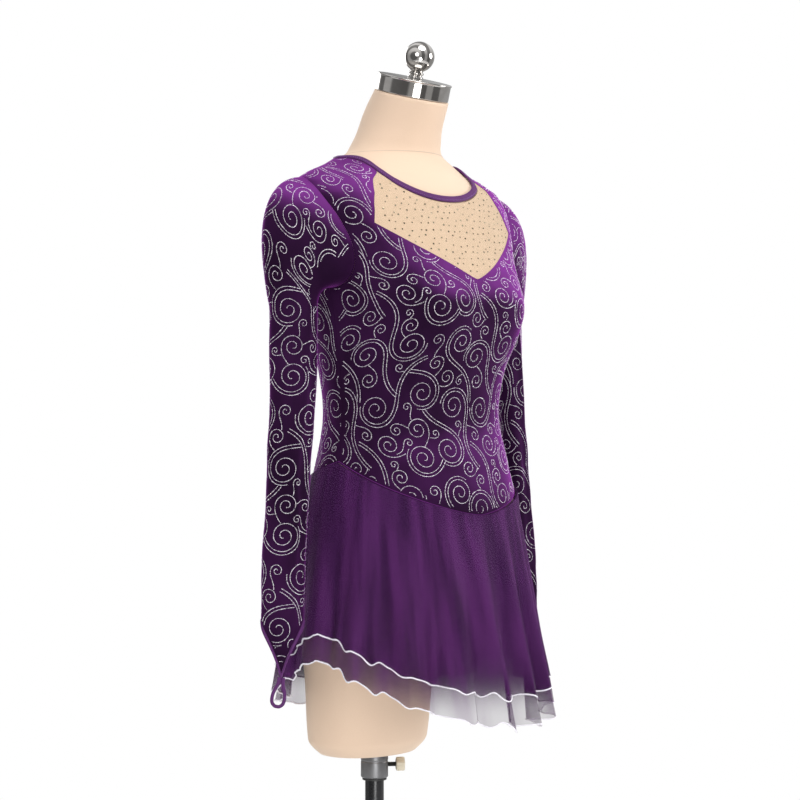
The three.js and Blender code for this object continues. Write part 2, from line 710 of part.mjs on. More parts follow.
function knob() {
  const start = BUSH.outer + SEAM_GAP;
  const { screwRadius, screwEnd, radius, length, lobes } = KNOB;
  const screw = new THREE.CylinderGeometry(screwRadius, screwRadius, screwEnd - start + 1, 16)
    .translate(0, (screwEnd + 1 + start) / 2, 0);
  const outline = new THREE.Shape();
  const steps = lobes * 6;
  for (let i = 0; i <= steps; i += 1) {
    const turn = (i / steps) * 2 * Math.PI;
    const r = radius * (1 + 0.08 * Math.cos(lobes * turn));
    if (i === 0) outline.moveTo(r, 0);
    else outline.lineTo(r * Math.cos(turn), r * Math.sin(turn));
  }
  const head = new THREE.ExtrudeGeometry(outline, {
    depth: length - 2, bevelSize: 1, bevelThickness: 1, bevelOffset: -1, bevelSegments: 1,
  }).rotateX(-Math.PI / 2).translate(0, screwEnd + 1, 0);
  return placeOnScrew(join(head, screw));
}

function base() {
  const { radius, height, rim, hubRadius, hubHeight, hubTop } = BASE;
  const bore = POLE.radius + SEAM_GAP;
  const profile = [[0, 0], [radius - 1.5, 0], [radius, 1.5], [radius, height - rim],
    [radius - rim * 0.3, height - rim * 0.3], [radius - rim, height], [hubRadius, height + 3],
    [hubTop, hubHeight], [bore, hubHeight], [bore, POLE.bottom - SEAM_GAP], [0, POLE.bottom - SEAM_GAP]];
  return lathe(profile, 44);
}

// The cap and the ball stand square to the neck's tipped top
function neckTop() {
  const { front, back, widest } = formAt(NECK.top);
  const middle = (front + back) / 2;
  const group = new THREE.Group();
  group.position.set(0, middle, NECK.top + (middle - widest) * Math.tan(NECK.tilt));
  group.rotation.x = NECK.tilt;
  return group;
}

function neckCap() {
  const { radius, height, lip, crown } = NECK_CAP;
  const low = SEAM_GAP;
  const high = low + height;
  const profile = [[0, low], [radius - 1, low], [radius, low + 1], [radius, high - lip],
    [radius + 1, high - lip * 0.6], [radius + 1, high - 0.6], [radius - 0.6, high],
    [radius * 0.5, high + crown * 0.7], [FINIAL.ring, high + crown], [0, high + crown]];
  return lathe(profile, 34);
}

function finial() {
  const foot = NECK_CAP.height + NECK_CAP.crown + SEAM_GAP * 2;
  const { radius, stem, ring } = FINIAL;
  const profile = [[0, foot], [ring, foot], [ring, foot + 1.8], [stem, foot + 2.6], [stem, foot + 4],
    [ring, foot + 4.8], [ring, foot + 6.8], [stem - 0.5, foot + 7.8]];
  const middle = foot + FINIAL.height;
  const start = Math.asin((stem - 0.5) / radius);
  const steps = 9;
  for (let i = 0; i <= steps; i += 1) {
    const turn = mix(start, Math.PI, i / steps);
    profile.push([i === steps ? 0 : radius * Math.sin(turn), middle - radius * Math.cos(turn)]);
  }
  return lathe(profile, 22);
}

// Joining and cutting closed bodies
const wasm = await Module();
wasm.setup();

function solidOf(geometry) {
  const merged = mergeVertices(positionsOnly(geometry), 1e-3);
  return new wasm.Manifold(new wasm.Mesh({
    numProp: 3,
    vertProperties: new Float32Array(merged.getAttribute('position').array),
    triVerts: new Uint32Array(merged.index.array),
  }));
}

function geometryOf(solid) {
  const mesh = solid.getMesh();
  const geometry = new THREE.BufferGeometry();
  geometry.setAttribute('position', new THREE.BufferAttribute(mesh.vertProperties, mesh.numProp));
  geometry.setIndex(new THREE.BufferAttribute(mesh.triVerts, 1));
  geometry.computeVertexNormals();
  return geometry;
}

function join(a, b) {
  return geometryOf(solidOf(a).add(solidOf(b)));
}

function subtract(a, b) {
  return geometryOf(solidOf(a).subtract(solidOf(b)));
}

// The whole object
const dressOnForm = new THREE.Group();

function add(name, geometry, colours, parent = dressOnForm) {
  const mesh = new THREE.Mesh(geometry, new THREE.MeshStandardMaterial(colours));
  mesh.name = name;
  parent.add(mesh);
}

add('bodice_front', bodiceFront().geometry(), COLOURS.velvet);
add('bodice_back', bodiceBack().geometry(), COLOURS.velvet);
add('mesh_insert', meshInsert(), COLOURS.mesh);
add('neck_binding', neckBinding(), COLOURS.binding);

for (const [side, place] of [['right', (g) => g], ['left', mirrored]]) {
  add(`sleeve_${side}`, place(sleeve()), COLOURS.velvet);
  add(`cuff_binding_${side}`, place(cuffBinding()), COLOURS.binding);
  add(`finger_loop_${side}`, place(fingerLoop()), COLOURS.binding);
}

add('skirt_upper', skirtLayer(HEM_UPPER, SKIRT.upperClear), COLOURS.chiffon);
add('skirt_lower', skirtLayer(HEM_LOWER, SKIRT.lowerClear), COLOURS.chiffon);

add('form_body', formBody(), COLOURS.jersey);
const capGroup = neckTop();
dressOnForm.add(capGroup);
add('neck_cap', neckCap(), COLOURS.chrome, capGroup);
add('finial', finial(), COLOURS.chrome, capGroup);

add('stand_collar', collar(), COLOURS.greyMetal);
add('collar_bush', bush(), COLOURS.nylon);
add('clamp_knob', knob(), COLOURS.cream);
add('pole', pole(), COLOURS.blackMetal);
add('base', base(), COLOURS.blackMetal);

export default dressOnForm;
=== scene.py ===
# A figure skating dress on a limbless dress form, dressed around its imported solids.
# Lengths in the tables are millimetres, as in the part's source, and meshes are in metres.
import math

import bpy
import numpy as np
from mathutils import Matrix, Vector


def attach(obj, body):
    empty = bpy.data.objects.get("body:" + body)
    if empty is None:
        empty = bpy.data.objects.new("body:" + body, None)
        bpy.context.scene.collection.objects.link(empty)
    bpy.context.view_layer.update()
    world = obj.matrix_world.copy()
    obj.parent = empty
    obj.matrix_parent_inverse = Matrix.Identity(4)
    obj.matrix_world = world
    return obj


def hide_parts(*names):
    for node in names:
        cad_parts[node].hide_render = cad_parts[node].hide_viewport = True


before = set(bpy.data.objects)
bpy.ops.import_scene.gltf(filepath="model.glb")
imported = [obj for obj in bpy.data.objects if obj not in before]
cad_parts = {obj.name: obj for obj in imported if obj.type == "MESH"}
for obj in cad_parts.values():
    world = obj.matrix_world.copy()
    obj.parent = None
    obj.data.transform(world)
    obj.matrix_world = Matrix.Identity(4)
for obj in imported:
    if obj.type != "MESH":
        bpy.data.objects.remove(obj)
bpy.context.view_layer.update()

MM = 0.001
DEGREE = math.pi / 180
SEED = 7

# Driving dimensions, the same as the solids'
CLOTH = {"clear": 0.9, "thick": 1.4, "wall": 0.9}
SEAM_GAP = 0.3
BINDING = {"clear": 0.7, "thick": 2.6, "width": 8.5, "edge_gap": 1.5}
SKIRT = {"thick": 0.5, "lower": 1.2, "upper": 2.7, "form_gap": 3, "flare": 0.85, "ease": 8}
NECK = {"start": 1350, "top": 1436, "tilt": 15.5 * DEGREE}
CUP = {"x": 72, "z": 1163, "width": 50, "height": 46, "depth": 14}
WAIST = {"front": 912, "side": 977, "back": 938, "roundness": 1.3, "blend_top": 1020}
NECKLINE = {"front": 1302, "side": 1352, "back": 1356, "roundness": 4}
ARMHOLE = {"z": 1256, "radius": 66, "angle": 25 * DEGREE}
SLEEVE_FACING = 135 * DEGREE
SLEEVE_CAP = {"out": 0.4, "drop": 0.42, "bulge": 0.13}
CUFF = {"wrist": 795, "point": 731, "band": 8.5, "seam": 1.2}
LOOP = {"height": 34, "half": 9.5, "lean": -9 * DEGREE}
HEM = {"half": 162, "front": -231, "back": 92, "middle": -66, "side_lift": 12, "curve": 0.8,
       "round": 0.12}
HEM_UPPER = {"side": 772, "front": 695, "back": 690}
HEM_LOWER = {"side": 741, "front": 660, "back": 655}


# Tables and smooth curves
class Sections:
    """Sizes at a row of heights, joined by smooth curves with no overshoot."""

    def __init__(self, columns, rows):
        data = np.array(sorted(rows), float).T
        self.z = data[0]
        self.values = dict(zip(columns.split()[1:], data[1:]))
        self.slopes = {name: self._slopes(v) for name, v in self.values.items()}

    def _slopes(self, values):
        rise = np.diff(values) / np.diff(self.z)
        before, after = rise[:-1], rise[1:]
        steady = before * after > 0
        total = np.where(steady, before + after, 1)
        inner = np.where(steady, 2 * before * after / total, 0)
        return np.concatenate([rise[:1], inner, rise[-1:]])

    def __call__(self, name, z):
        z = np.asarray(z, float)
        i = np.clip(np.searchsorted(self.z, z, side="right") - 1, 0, len(self.z) - 2)
        span = self.z[i + 1] - self.z[i]
        t = np.clip((z - self.z[i]) / span, 0, 1)
        value, slope = self.values[name], self.slopes[name]
        start = value[i] * (1 + 2 * t) * (1 - t) ** 2 + slope[i] * span * t * (1 - t) ** 2
        end = value[i + 1] * t * t * (3 - 2 * t) + slope[i + 1] * span * t * t * (t - 1)
        return start + end


FORM = Sections("z half front back widest power", [
    (604, 76, -44, 68, 12, 2.2),
    (620, 84, -52, 76, 12, 2.2),
    (700, 90, -62, 80, 9, 2.2),
    (790, 115, -107, 84, -10, 2.2),
    (870, 138, -160, 72, -45, 2.2),
    (915, 139, -181, 56, -63, 2.2),
    (970, 129, -172, 38, -67, 2.15),
    (1034, 119, -159, 28, -66, 2.1),
    (1090, 124, -166, 33, -66, 2.15),
    (1130, 130, -179, 40, -66, 2.25),
    (1168, 135, -183, 46, -64, 2.35),
    (1205, 142, -173, 48, -60, 2.4),
    (1240, 153, -156, 47, -56, 2.4),
    (1270, 165, -140, 42, -52, 2.3),
    (1300, 172, -124, 34, -46, 2.15),
    (1318, 168, -115, 28, -42, 1.95),
    (1330, 150, -108, 24, -40, 1.75),
    (1341, 122, -100, 21, -38, 1.7),
    (1352, 98, -94, 20, -37, 1.75),
    (1366, 68, -91, 19, -36, 1.9),
    (1385, 57, -95, 10, -43, 2.0),
    (1405, 51.5, -101, 2, -50, 2.0),
    (1436, 47, -113, -19, -66, 2.0),
])
SLEEVE = Sections("z x y broad thin", [
    (1165, -193, -54, 28.5, 20.5),
    (1110, -195, -56, 28.5, 18),
    (1053, -198, -58, 27, 17.5),
    (995, -203, -58, 26.2, 17),
    (923, -209.5, -60, 25, 16.5),
    (866, -216.5, -62, 25.5, 16),
    (795, -221, -65, 25, 14),
    (715, -225, -67, 23, 12),
])
# The edge between the front panel and the see-through yoke, as height and angle
YOKE_EDGE = np.array([(1200, 0), (1266, 45), (1281, 41.5), (1303, 38), (1340, 39.5)], float)
# The crests of the skirt's folds, and how far each stands out at the hem
FOLD_ANGLES = np.array([
    -94, -70, -47, -25, -6, 11, 28, 45, 63, 84, 108, 132, 156, 180, 205, 235, 266,
]) * DEGREE
FOLD_DEPTHS = np.array([6, 9, 8, 9, 12, 15, 13, 6, 10, 12, 12, 13, 14, 14, 13, 9, 6], float)


def smooth(t):
    k = np.clip(t, 0, 1)
    return k * k * (3 - 2 * k)


def mix(a, b, t):
    return a + (b - a) * t


def unit(v):
    return v / np.maximum(np.linalg.norm(v, axis=-1, keepdims=True), 1e-9)


# The form's surface
def form_surface(angle, z):
    angle, z = np.broadcast_arrays(np.asarray(angle, float), np.asarray(z, float))
    side, ahead = np.sin(angle), np.cos(angle)
    power = 2 / FORM("power", z)
    widest = FORM("widest", z)
    x = FORM("half", z) * np.sign(side) * np.abs(side) ** power
    reach = np.abs(ahead) ** power
    depth = np.where(ahead >= 0, FORM("front", z) - widest, FORM("back", z) - widest)
    across = (np.abs(x) - CUP["x"]) / CUP["width"]
    above = (z - CUP["z"]) / CUP["height"]
    cup = CUP["depth"] * np.exp(-across ** 2 - above ** 2) * np.clip(ahead * 1.6, 0, 1)
    y = widest + depth * reach - cup
    tipped = smooth((z - NECK["start"]) / (NECK["top"] - NECK["start"]))
    return np.stack([x, y, z + (y - widest) * math.tan(NECK["tilt"]) * tipped], -1)


def off_form(angle, z, distance):
    angle, z = np.broadcast_arrays(np.asarray(angle, float), np.asarray(z, float))
    step = 0.001
    along = form_surface(angle + step, z) - form_surface(angle - step, z)
    up = form_surface(angle, z + 1) - form_surface(angle, z - 1)
    out = unit(np.cross(along, up))
    return form_surface(angle, z) + out * np.asarray(distance, float)[..., None]


def down_surface(angle, z, distance):
    angle, z = np.broadcast_arrays(np.asarray(angle, float), np.asarray(z, float))
    stretch = np.linalg.norm(form_surface(angle, z) - form_surface(angle, z - 1), axis=-1)
    return z - distance / stretch


# Seams and edges of the bodice
def waist_height(angle, shift=0.0):
    share = np.arccos(np.clip(np.cos(angle), -1, 1)) / (math.pi / 2)
    low = np.where(share <= 1, WAIST["front"], WAIST["back"])
    away = np.where(share <= 1, share, 2 - share)
    return low + (WAIST["side"] - low) * np.maximum(away, 0) ** WAIST["roundness"] + shift


def neckline_height(angle):
    ahead = np.cos(angle)
    front = mix(NECKLINE["side"], NECKLINE["front"], np.abs(ahead) ** NECKLINE["roundness"])
    back = mix(NECKLINE["side"], NECKLINE["back"], -ahead)
    return np.where(ahead >= 0, front, back)


def bodice_top(angle):
    low = down_surface(angle, neckline_height(angle), BINDING["width"] / 2)
    return down_surface(angle, low, BINDING["edge_gap"])


NECK_ANGLES = np.linspace(YOKE_EDGE[-1, 1] * DEGREE, math.pi / 2, 400)
NECK_HEIGHTS = np.maximum.accumulate(bodice_top(NECK_ANGLES))
YOKE_TOP = float(NECK_HEIGHTS[0])


def front_edge(z):
    """The angle at which the front panel starts: the yoke's edge, then the neckline."""
    z = np.asarray(z, float)
    yoke = np.interp(z, YOKE_EDGE[:, 0], YOKE_EDGE[:, 1]) * DEGREE
    neck = np.interp(z, NECK_HEIGHTS, NECK_ANGLES)
    return np.where(z <= YOKE_EDGE[0, 0], 0, np.where(z < YOKE_TOP, yoke, neck))


def armhole_reach(z):
    height = np.clip((np.asarray(z, float) - ARMHOLE["z"]) / ARMHOLE["radius"], -1, 1)
    return ARMHOLE["angle"] * np.sqrt(1 - height ** 2)


# Sheets of cloth: each corner has a point on both faces of the wall, and a place on the cut
class Cloth:
    def __init__(self):
        self.outer, self.inner, self.cut, self.faces, self.known = [], [], [], [], {}

    def corner(self, outer, inner, cut):
        key = tuple(np.round(outer * 50).astype(int))
        if key not in self.known:
            self.known[key] = len(self.outer)
            self.outer.append(outer)
            self.inner.append(inner)
            self.cut.append(cut)
        return self.known[key]

    def grid(self, outer, inner, cut=None, closed=False, flipped=False):
        """Rows of points on both faces. The place on the cut is the way along the cloth."""
        if cut is None:
            cut = cut_places(outer)
        rows = [
            [self.corner(o, i, c) for o, i, c in zip(*row)]
            for row in zip(outer, inner, cut)
        ]
        columns = len(rows[0])
        for above, below in zip(rows, rows[1:]):
            for c in range(columns if closed else columns - 1):
                d = (c + 1) % columns
                face = [above[c], above[d], below[d], below[c]]
                face = list(dict.fromkeys(face))
                if len(face) > 2:
                    self.faces.append(face[::-1] if flipped else face)

    def piece(self, name, material):
        count = len(self.outer)
        edges = {}
        faces = []
        for face in self.faces:
            faces.append(face)
            faces.append([v + count for v in reversed(face)])
            for p, q in zip(face, face[1:] + face[:1]):
                if (q, p) in edges:
                    del edges[(q, p)]
                else:
                    edges[(p, q)] = True
        faces += [[q, p, p + count, q + count] for p, q in edges]
        points = np.array(self.outer + self.inner)
        piece = solid(name, points, faces, material, cut=np.array(self.cut * 2))
        rim = {(min(p, q) + k, max(p, q) + k) for p, q in edges for k in (0, count)}
        mark_sharp(piece.data, [edge.key in rim for edge in piece.data.edges])
        return piece


def cut_places(points):
    across = np.linalg.norm(np.diff(points, axis=1), axis=-1)
    down = np.linalg.norm(np.diff(points, axis=0), axis=-1)
    u = np.concatenate([np.zeros((len(points), 1)), np.cumsum(across, axis=1)], axis=1)
    middle = u[:, u.shape[1] // 2][:, None]
    v = np.concatenate([np.zeros((1, points.shape[1])), np.cumsum(down, axis=0)], axis=0)
    return np.stack([u - middle, v], -1)


def volume(points, faces):
    total = 0.0
    for face in faces:
        a = points[face[0]]
        for b, c in zip(face[1:], face[2:]):
            total += float(np.dot(a, np.cross(points[b], points[c])))
    return total


def solid(name, points, faces, material, cut=None):
    """A closed mesh with its faces turned out, from points in millimetres."""
    if volume(points, faces) < 0:
        faces = [list(reversed(face)) for face in faces]
    mesh = bpy.data.meshes.new(name)
    mesh.from_pydata((points * MM).tolist(), [], faces)
    if cut is not None:
        places = mesh.uv_layers.new(name="cut").data
        for loop in mesh.loops:
            places[loop.index].uv = cut[loop.vertex_index] * MM
    mesh.validate()
    mesh.materials.append(material)
    mesh.shade_smooth()
    piece = bpy.data.objects.new(name, mesh)
    bpy.context.scene.collection.objects.link(piece)
    return piece


def mark_sharp(mesh, sharp):
    attribute = mesh.attributes.new("sharp_edge", "BOOLEAN", "EDGE")
    attribute.data.foreach_set("value", sharp)


def soft_edges(piece, limit=40 * DEGREE):
    """Keeps hard corners hard on a turned or cut piece."""
    mesh = piece.data
    normals = np.zeros(len(mesh.polygons) * 3)
    mesh.polygons.foreach_get("normal", normals)
    normals = normals.reshape(-1, 3)
    at_edge = {}
    for polygon in mesh.polygons:
        for key in polygon.edge_keys:
            at_edge.setdefault(key, []).append(polygon.index)
    sharp = np.zeros(len(mesh.edges), bool)
    for edge in mesh.edges:
        sides = at_edge[edge.key]
        if len(sides) == 2:
            sharp[edge.index] = normals[sides[0]] @ normals[sides[1]] < math.cos(limit)
    mark_sharp(mesh, sharp)
    return piece


def ring_solid(name, rings, material, ends=False):
    """A body through rings of equal count, capped at its ends or joined end to start."""
    rings = np.asarray(rings, float)
    count = rings.shape[1]
    faces = []
    turns = len(rings) - 1 if ends else len(rings)
    for r in range(turns):
        s = (r + 1) % len(rings)
        for c in range(count):
            d = (c + 1) % count
            faces.append([r * count + c, r * count + d, s * count + d, s * count + c])
    if ends:
        last = (len(rings) - 1) * count
        faces.append(list(range(count))[::-1])
        faces.append([last + c for c in range(count)])
    return solid(name, rings.reshape(-1, 3), faces, material)


def lathe(name, profile, material, place=None, segments=96):
    """A turned piece: radius and height pairs, spun round the Z axis."""
    turns = np.arange(segments) / segments * 2 * math.pi
    points, rows = [], []
    for radius, z in profile:
        if radius == 0:
            rows.append([len(points)] * segments)
            points.append((0, 0, z))
            continue
        rows.append(list(range(len(points), len(points) + segments)))
        points += [(radius * math.cos(t), radius * math.sin(t), z) for t in turns]
    faces = []
    for above, below in zip(rows, rows[1:]):
        for c in range(segments):
            d = (c + 1) % segments
            face = list(dict.fromkeys([above[c], above[d], below[d], below[c]]))
            if len(face) > 2:
                faces.append(face)
    points = np.array(points, float)
    if place is not None:
        matrix = np.array(place)
        points = points @ matrix[:3, :3].T + matrix[:3, 3]
    return soft_edges(solid(name, points, faces, material))


def rounded(profile, radius=0.5, steps=3):
    """A profile whose inner corners are rounded, so that its edges catch the light."""
    made = [profile[0]]
    for before, corner, after in zip(profile, profile[1:], profile[2:]):
        before, corner, after = (np.array(p, float) for p in (before, corner, after))
        back, ahead = before - corner, after - corner
        reach = min(radius, np.linalg.norm(back) / 2.2, np.linalg.norm(ahead) / 2.2)
        start = corner + unit(back) * reach
        end = corner + unit(ahead) * reach
        for k in range(steps + 1):
            t = k / steps
            made.append(tuple((1 - t) ** 2 * start + 2 * t * (1 - t) * corner + t * t * end))
    made.append(profile[-1])
    return made


def tube(name, path, radius, material, closed=True, sides=8, flatten=1.0, normals=None):
    """A cord along a path. It is flattened along the normals, where they are given."""
    path = np.asarray(path, float)
    if closed:
        ahead = unit(np.roll(path, -1, 0) - np.roll(path, 1, 0))
    else:
        ahead = unit(np.gradient(path, axis=0))
    up = np.array([0, 0, 1.0]) if normals is None else np.asarray(normals, float)
    side = unit(np.cross(ahead, up))
    out = unit(np.cross(side, ahead))
    radii = np.broadcast_to(np.asarray(radius, float), len(path))[:, None]
    rings = []
    for k in range(sides):
        turn = 2 * math.pi * k / sides
        rings.append(path + radii * (side * math.cos(turn) + out * math.sin(turn) * flatten))
    return ring_solid(name, np.stack(rings, 1), material, ends=not closed)


# Materials: one class for a material's nodes, and one that makes sums of their sockets
class Value:
    """A socket that takes part in sums. Each operation adds a Math node."""

    def __init__(self, paint, socket):
        self.paint, self.socket = paint, socket

    def _math(self, operation, *operands):
        values = dict(enumerate(operands))
        node = self.paint.add("ShaderNodeMath", {"operation": operation}, values)
        return Value(self.paint, node.outputs[0])

    def __add__(self, other):
        return self._math("ADD", self, other)

    def __sub__(self, other):
        return self._math("SUBTRACT", self, other)

    def __rsub__(self, other):
        return self._math("SUBTRACT", other, self)

    def __mul__(self, other):
        return self._math("MULTIPLY", self, other)

    def __truediv__(self, other):
        return self._math("DIVIDE", self, other)

    def __pow__(self, other):
        return self._math("POWER", self, other)

    __radd__ = __add__
    __rmul__ = __mul__

    def sin(self):
        return self._math("SINE", self)

    def absolute(self):
        return self._math("ABSOLUTE", self)

    def between(self, low, high):
        """0 below low, 1 above high, and a smooth step from one to the other."""
        settings = {"interpolation_type": "SMOOTHSTEP"}
        node = self.paint.add("ShaderNodeMapRange", settings, {0: self, 1: low, 2: high})
        return Value(self.paint, node.outputs[0])


class Nodes:
    """A node tree. add() makes any node from its type, its settings and its sockets."""

    def __init__(self, tree):
        self.tree = tree

    def add(self, kind, settings=None, inputs=None):
        node = self.tree.nodes.new(kind)
        for key, value in (settings or {}).items():
            setattr(node, key, value)
        for key, value in (inputs or {}).items():
            self.feed(node.inputs[key], value)
        return node

    def feed(self, socket, value):
        if isinstance(value, Value):
            value = value.socket
        if isinstance(value, bpy.types.NodeSocket):
            self.tree.links.new(value, socket)
        elif socket.type == "RGBA" and len(value) == 3:
            socket.default_value = (*value, 1)
        else:
            socket.default_value = value


class Paint(Nodes):
    """A material with one Principled shader, whose constants are set on its own sockets."""

    def __init__(self, name, **constants):
        self.material = bpy.data.materials.new(name)
        self.material.use_nodes = True
        super().__init__(self.material.node_tree)
        self.tree.nodes.clear()
        names = {key.replace("_", " ").title(): value for key, value in constants.items()}
        names = {key.replace("Ior", "IOR"): value for key, value in names.items()}
        self.shader = self.add("ShaderNodeBsdfPrincipled", {}, names)
        output = self.add("ShaderNodeOutputMaterial")
        self.tree.links.new(self.shader.outputs[0], output.inputs["Surface"])

    def object_place(self):
        return self.add("ShaderNodeTexCoord").outputs["Object"]

    def cut_place(self):
        return self.add("ShaderNodeUVMap", {"uv_map": "cut"}).outputs["UV"]

    def axes(self, place):
        node = self.add("ShaderNodeSeparateXYZ", {}, {0: place})
        return [Value(self, socket) for socket in node.outputs]

    def noise(self, place, scale, detail=2.0, roughness=0.5):
        sizes = {"Vector": place, "Scale": scale, "Detail": detail, "Roughness": roughness}
        return Value(self, self.add("ShaderNodeTexNoise", {}, sizes).outputs[0])

    def cells(self, place, scale):
        node = self.add("ShaderNodeTexVoronoi", {}, {"Vector": place, "Scale": scale})
        return Value(self, node.outputs["Distance"])

    def stretched(self, place, scale):
        return self.add("ShaderNodeMapping", {}, {"Vector": place, "Scale": scale}).outputs[0]

    def blend(self, factor, first, second):
        node = self.add("ShaderNodeMix", {"data_type": "RGBA"}, {0: factor, 6: first, 7: second})
        return node.outputs[2]

    def bump(self, height, distance, strength=1.0):
        sizes = {"Height": height, "Distance": distance, "Strength": strength}
        self.feed(self.shader.inputs["Normal"], self.add("ShaderNodeBump", {}, sizes).outputs[0])

    def set(self, **inputs):
        for key, value in inputs.items():
            self.feed(self.shader.inputs[key.replace("_", " ").title()], value)


def velvet():
    """Dark velvet whose base colour is lighter where it faces up and a little towards +x: painted
    light from above and from the right, laid over the nap's own tone.
    """
    paint = Paint(
        "purple_velvet", sheen_weight=0.9, sheen_roughness=0.35, sheen_tint=(0.46, 0.07, 0.56),
        specular_ior_level=0.06,
    )
    place = paint.object_place()
    nap = paint.noise(paint.stretched(place, (1, 1, 0.6)), 13, 3, 0.5).between(0.3, 0.75)
    pile = paint.noise(place, 1500, 2, 0.6)
    facing = paint.axes(paint.add("ShaderNodeTexCoord").outputs["Normal"])
    # Painted light: the base colour lightens on faces that point up and towards +x, as if lit by
    # the lamps above and at the side.
    up = (facing[2] + facing[0] * 0.20 - 0.05).between(0.0, 0.56)
    tone_and_painted_light = nap * 0.12 + pile * 0.06 + up * (nap * 0.5 + 0.6)
    paint.set(
        base_color=paint.blend(tone_and_painted_light, (0.006, 0.0012, 0.008), (0.160, 0.028, 0.205)),
        roughness=pile * 0.15 + 0.78,
    )
    paint.bump(nap * 0.5 + pile * 0.5, 0.0006, 0.55)
    return paint.material


def chiffon():
    """Sheer cloth, whose gathers lie closer and let less light through higher up."""
    paint = Paint("purple_chiffon", sheen_weight=0.08, sheen_roughness=0.5,
                  sheen_tint=(0.75, 0.25, 0.85), specular_ior_level=0.12)
    place = paint.cut_place()
    height = paint.axes(paint.object_place())[2]
    # Painted fold shade: vertical streaks darken the base colour where folds would lie in shade.
    # The same streaks also make the cloth a little less sheer where they are lighter.
    painted_fold_shade = paint.noise(paint.stretched(place, (1, 0.12, 1)), 42, 2, 0.5).between(0.32, 0.68)
    grain = paint.noise(place, 1600, 2, 0.6)
    paint.set(
        base_color=paint.blend(painted_fold_shade, (0.034, 0.005, 0.049), (0.080, 0.015, 0.104)),
        roughness=grain * 0.2 + 0.62,
        alpha=height.between(0.672, 0.738) * 0.48 + painted_fold_shade * 0.12 + grain * 0.06 + 0.14,
    )
    paint.bump(grain, 0.00004, 0.2)
    return paint.material


def stretch_mesh():
    paint = Paint("nude_mesh", sheen_weight=0.2, sheen_roughness=0.5,
                  sheen_tint=(0.9, 0.75, 0.6), specular_ior_level=0.25)
    place = paint.cut_place()
    across, down, _ = paint.axes(place)
    pitch = 2 * math.pi / 0.0014
    net = ((across + down) * pitch).sin().absolute() * ((across - down) * pitch).sin().absolute()
    holes = net.between(0.25, 0.6)
    tone = paint.noise(place, 40, 3)
    paint.set(
        base_color=paint.blend(tone, (0.68, 0.50, 0.345), (0.76, 0.57, 0.40)),
        roughness=tone * 0.1 + 0.6,
        alpha=0.95 - holes * 0.45,
    )
    paint.bump(1 - net, 0.0002, 0.5)
    return paint.material


def ribbed_binding():
    paint = Paint("purple_binding", sheen_weight=0.3, sheen_roughness=0.35,
                  sheen_tint=(0.75, 0.25, 0.85), specular_ior_level=0.3)
    place = paint.object_place()
    rib = paint.noise(place, 900, 2, 0.6)
    wear = paint.noise(place, 60, 3)
    paint.set(
        base_color=paint.blend(
            wear * 0.6 + rib * 0.4, (0.045, 0.006, 0.060), (0.110, 0.018, 0.140)
        ),
        roughness=rib * 0.2 + 0.5,
    )
    paint.bump(rib, 0.0004, 0.5)
    return paint.material


def jersey():
    paint = Paint("beige_jersey", sheen_weight=0.35, sheen_roughness=0.5,
                  sheen_tint=(0.95, 0.85, 0.75), specular_ior_level=0.25)
    place = paint.object_place()
    knit = paint.cells(paint.stretched(place, (1, 1, 0.6)), 1100)
    tone = paint.noise(place, 9, 3)
    paint.set(
        base_color=paint.blend(tone * 0.7 + knit * 0.3, (0.70, 0.52, 0.385), (0.77, 0.585, 0.44)),
        roughness=tone * 0.1 + 0.78,
    )
    paint.bump(knit, 0.0003, 0.4)
    return paint.material


def metal(name, dark, light, metallic, low, high, grain=300, depth=0.00005):
    """A metal or lacquer whose colour and gloss vary a little, as with handling."""
    paint = Paint(name, metallic=metallic)
    place = paint.object_place()
    smears = paint.noise(place, 22, 4, 0.6).between(0.35, 0.75)
    fine = paint.noise(place, grain, 2)
    paint.set(
        base_color=paint.blend(smears, dark, light),
        roughness=smears * (high - low) + fine * 0.04 + low,
    )
    paint.bump(fine, depth, 0.3)
    return paint.material


def glitter():
    paint = Paint("silver_glitter", metallic=0.2)
    tint = paint.noise(paint.object_place(), 420, 1).between(0.3, 0.7)
    paint.set(
        base_color=paint.blend(tint, (0.82, 0.76, 0.86), (0.98, 0.95, 0.99)),
        roughness=tint * 0.2 + 0.3,
    )
    return paint.material


def thread(name, dark, light):
    paint = Paint(name, sheen_weight=0.5, sheen_roughness=0.4, sheen_tint=(1, 1, 1))
    twist = paint.noise(paint.object_place(), 1400, 2)
    paint.set(base_color=paint.blend(twist, dark, light), roughness=twist * 0.2 + 0.5)
    paint.bump(twist, 0.0003, 0.5)
    return paint.material


VELVET = velvet()
CHIFFON = chiffon()
MESH = stretch_mesh()
BINDING_CLOTH = ribbed_binding()
JERSEY = jersey()
CHROME = metal("chrome", (0.46, 0.44, 0.42), (0.64, 0.62, 0.60), 1.0, 0.04, 0.1)
GREY_METAL = metal("grey_collar_metal", (0.17, 0.17, 0.175), (0.24, 0.24, 0.25), 0.7, 0.36, 0.5)
BLACK_METAL = metal("black_lacquer", (0.006, 0.006, 0.007), (0.016, 0.016, 0.018), 0.0, 0.24, 0.36)
NYLON = metal("black_nylon", (0.015, 0.015, 0.015), (0.03, 0.03, 0.03), 0.0, 0.5, 0.62)
CREAM = metal("cream_plastic", (0.60, 0.53, 0.40), (0.70, 0.63, 0.50), 0.0, 0.28, 0.4)
DARK_STEEL = metal("dark_screw", (0.05, 0.05, 0.05), (0.12, 0.12, 0.12), 0.9, 0.3, 0.45)
GLITTER = glitter()
STONE = metal("smoky_stone", (0.16, 0.15, 0.09), (0.42, 0.40, 0.30), 0.75, 0.12, 0.25)
HEM_THREAD = thread("silver_hem_thread", (0.72, 0.69, 0.76), (0.94, 0.92, 0.96))
SEAM_THREAD = thread("purple_thread", (0.10, 0.02, 0.18), (0.24, 0.07, 0.40))
BEIGE_THREAD = thread("beige_thread", (0.52, 0.38, 0.28), (0.66, 0.50, 0.38))


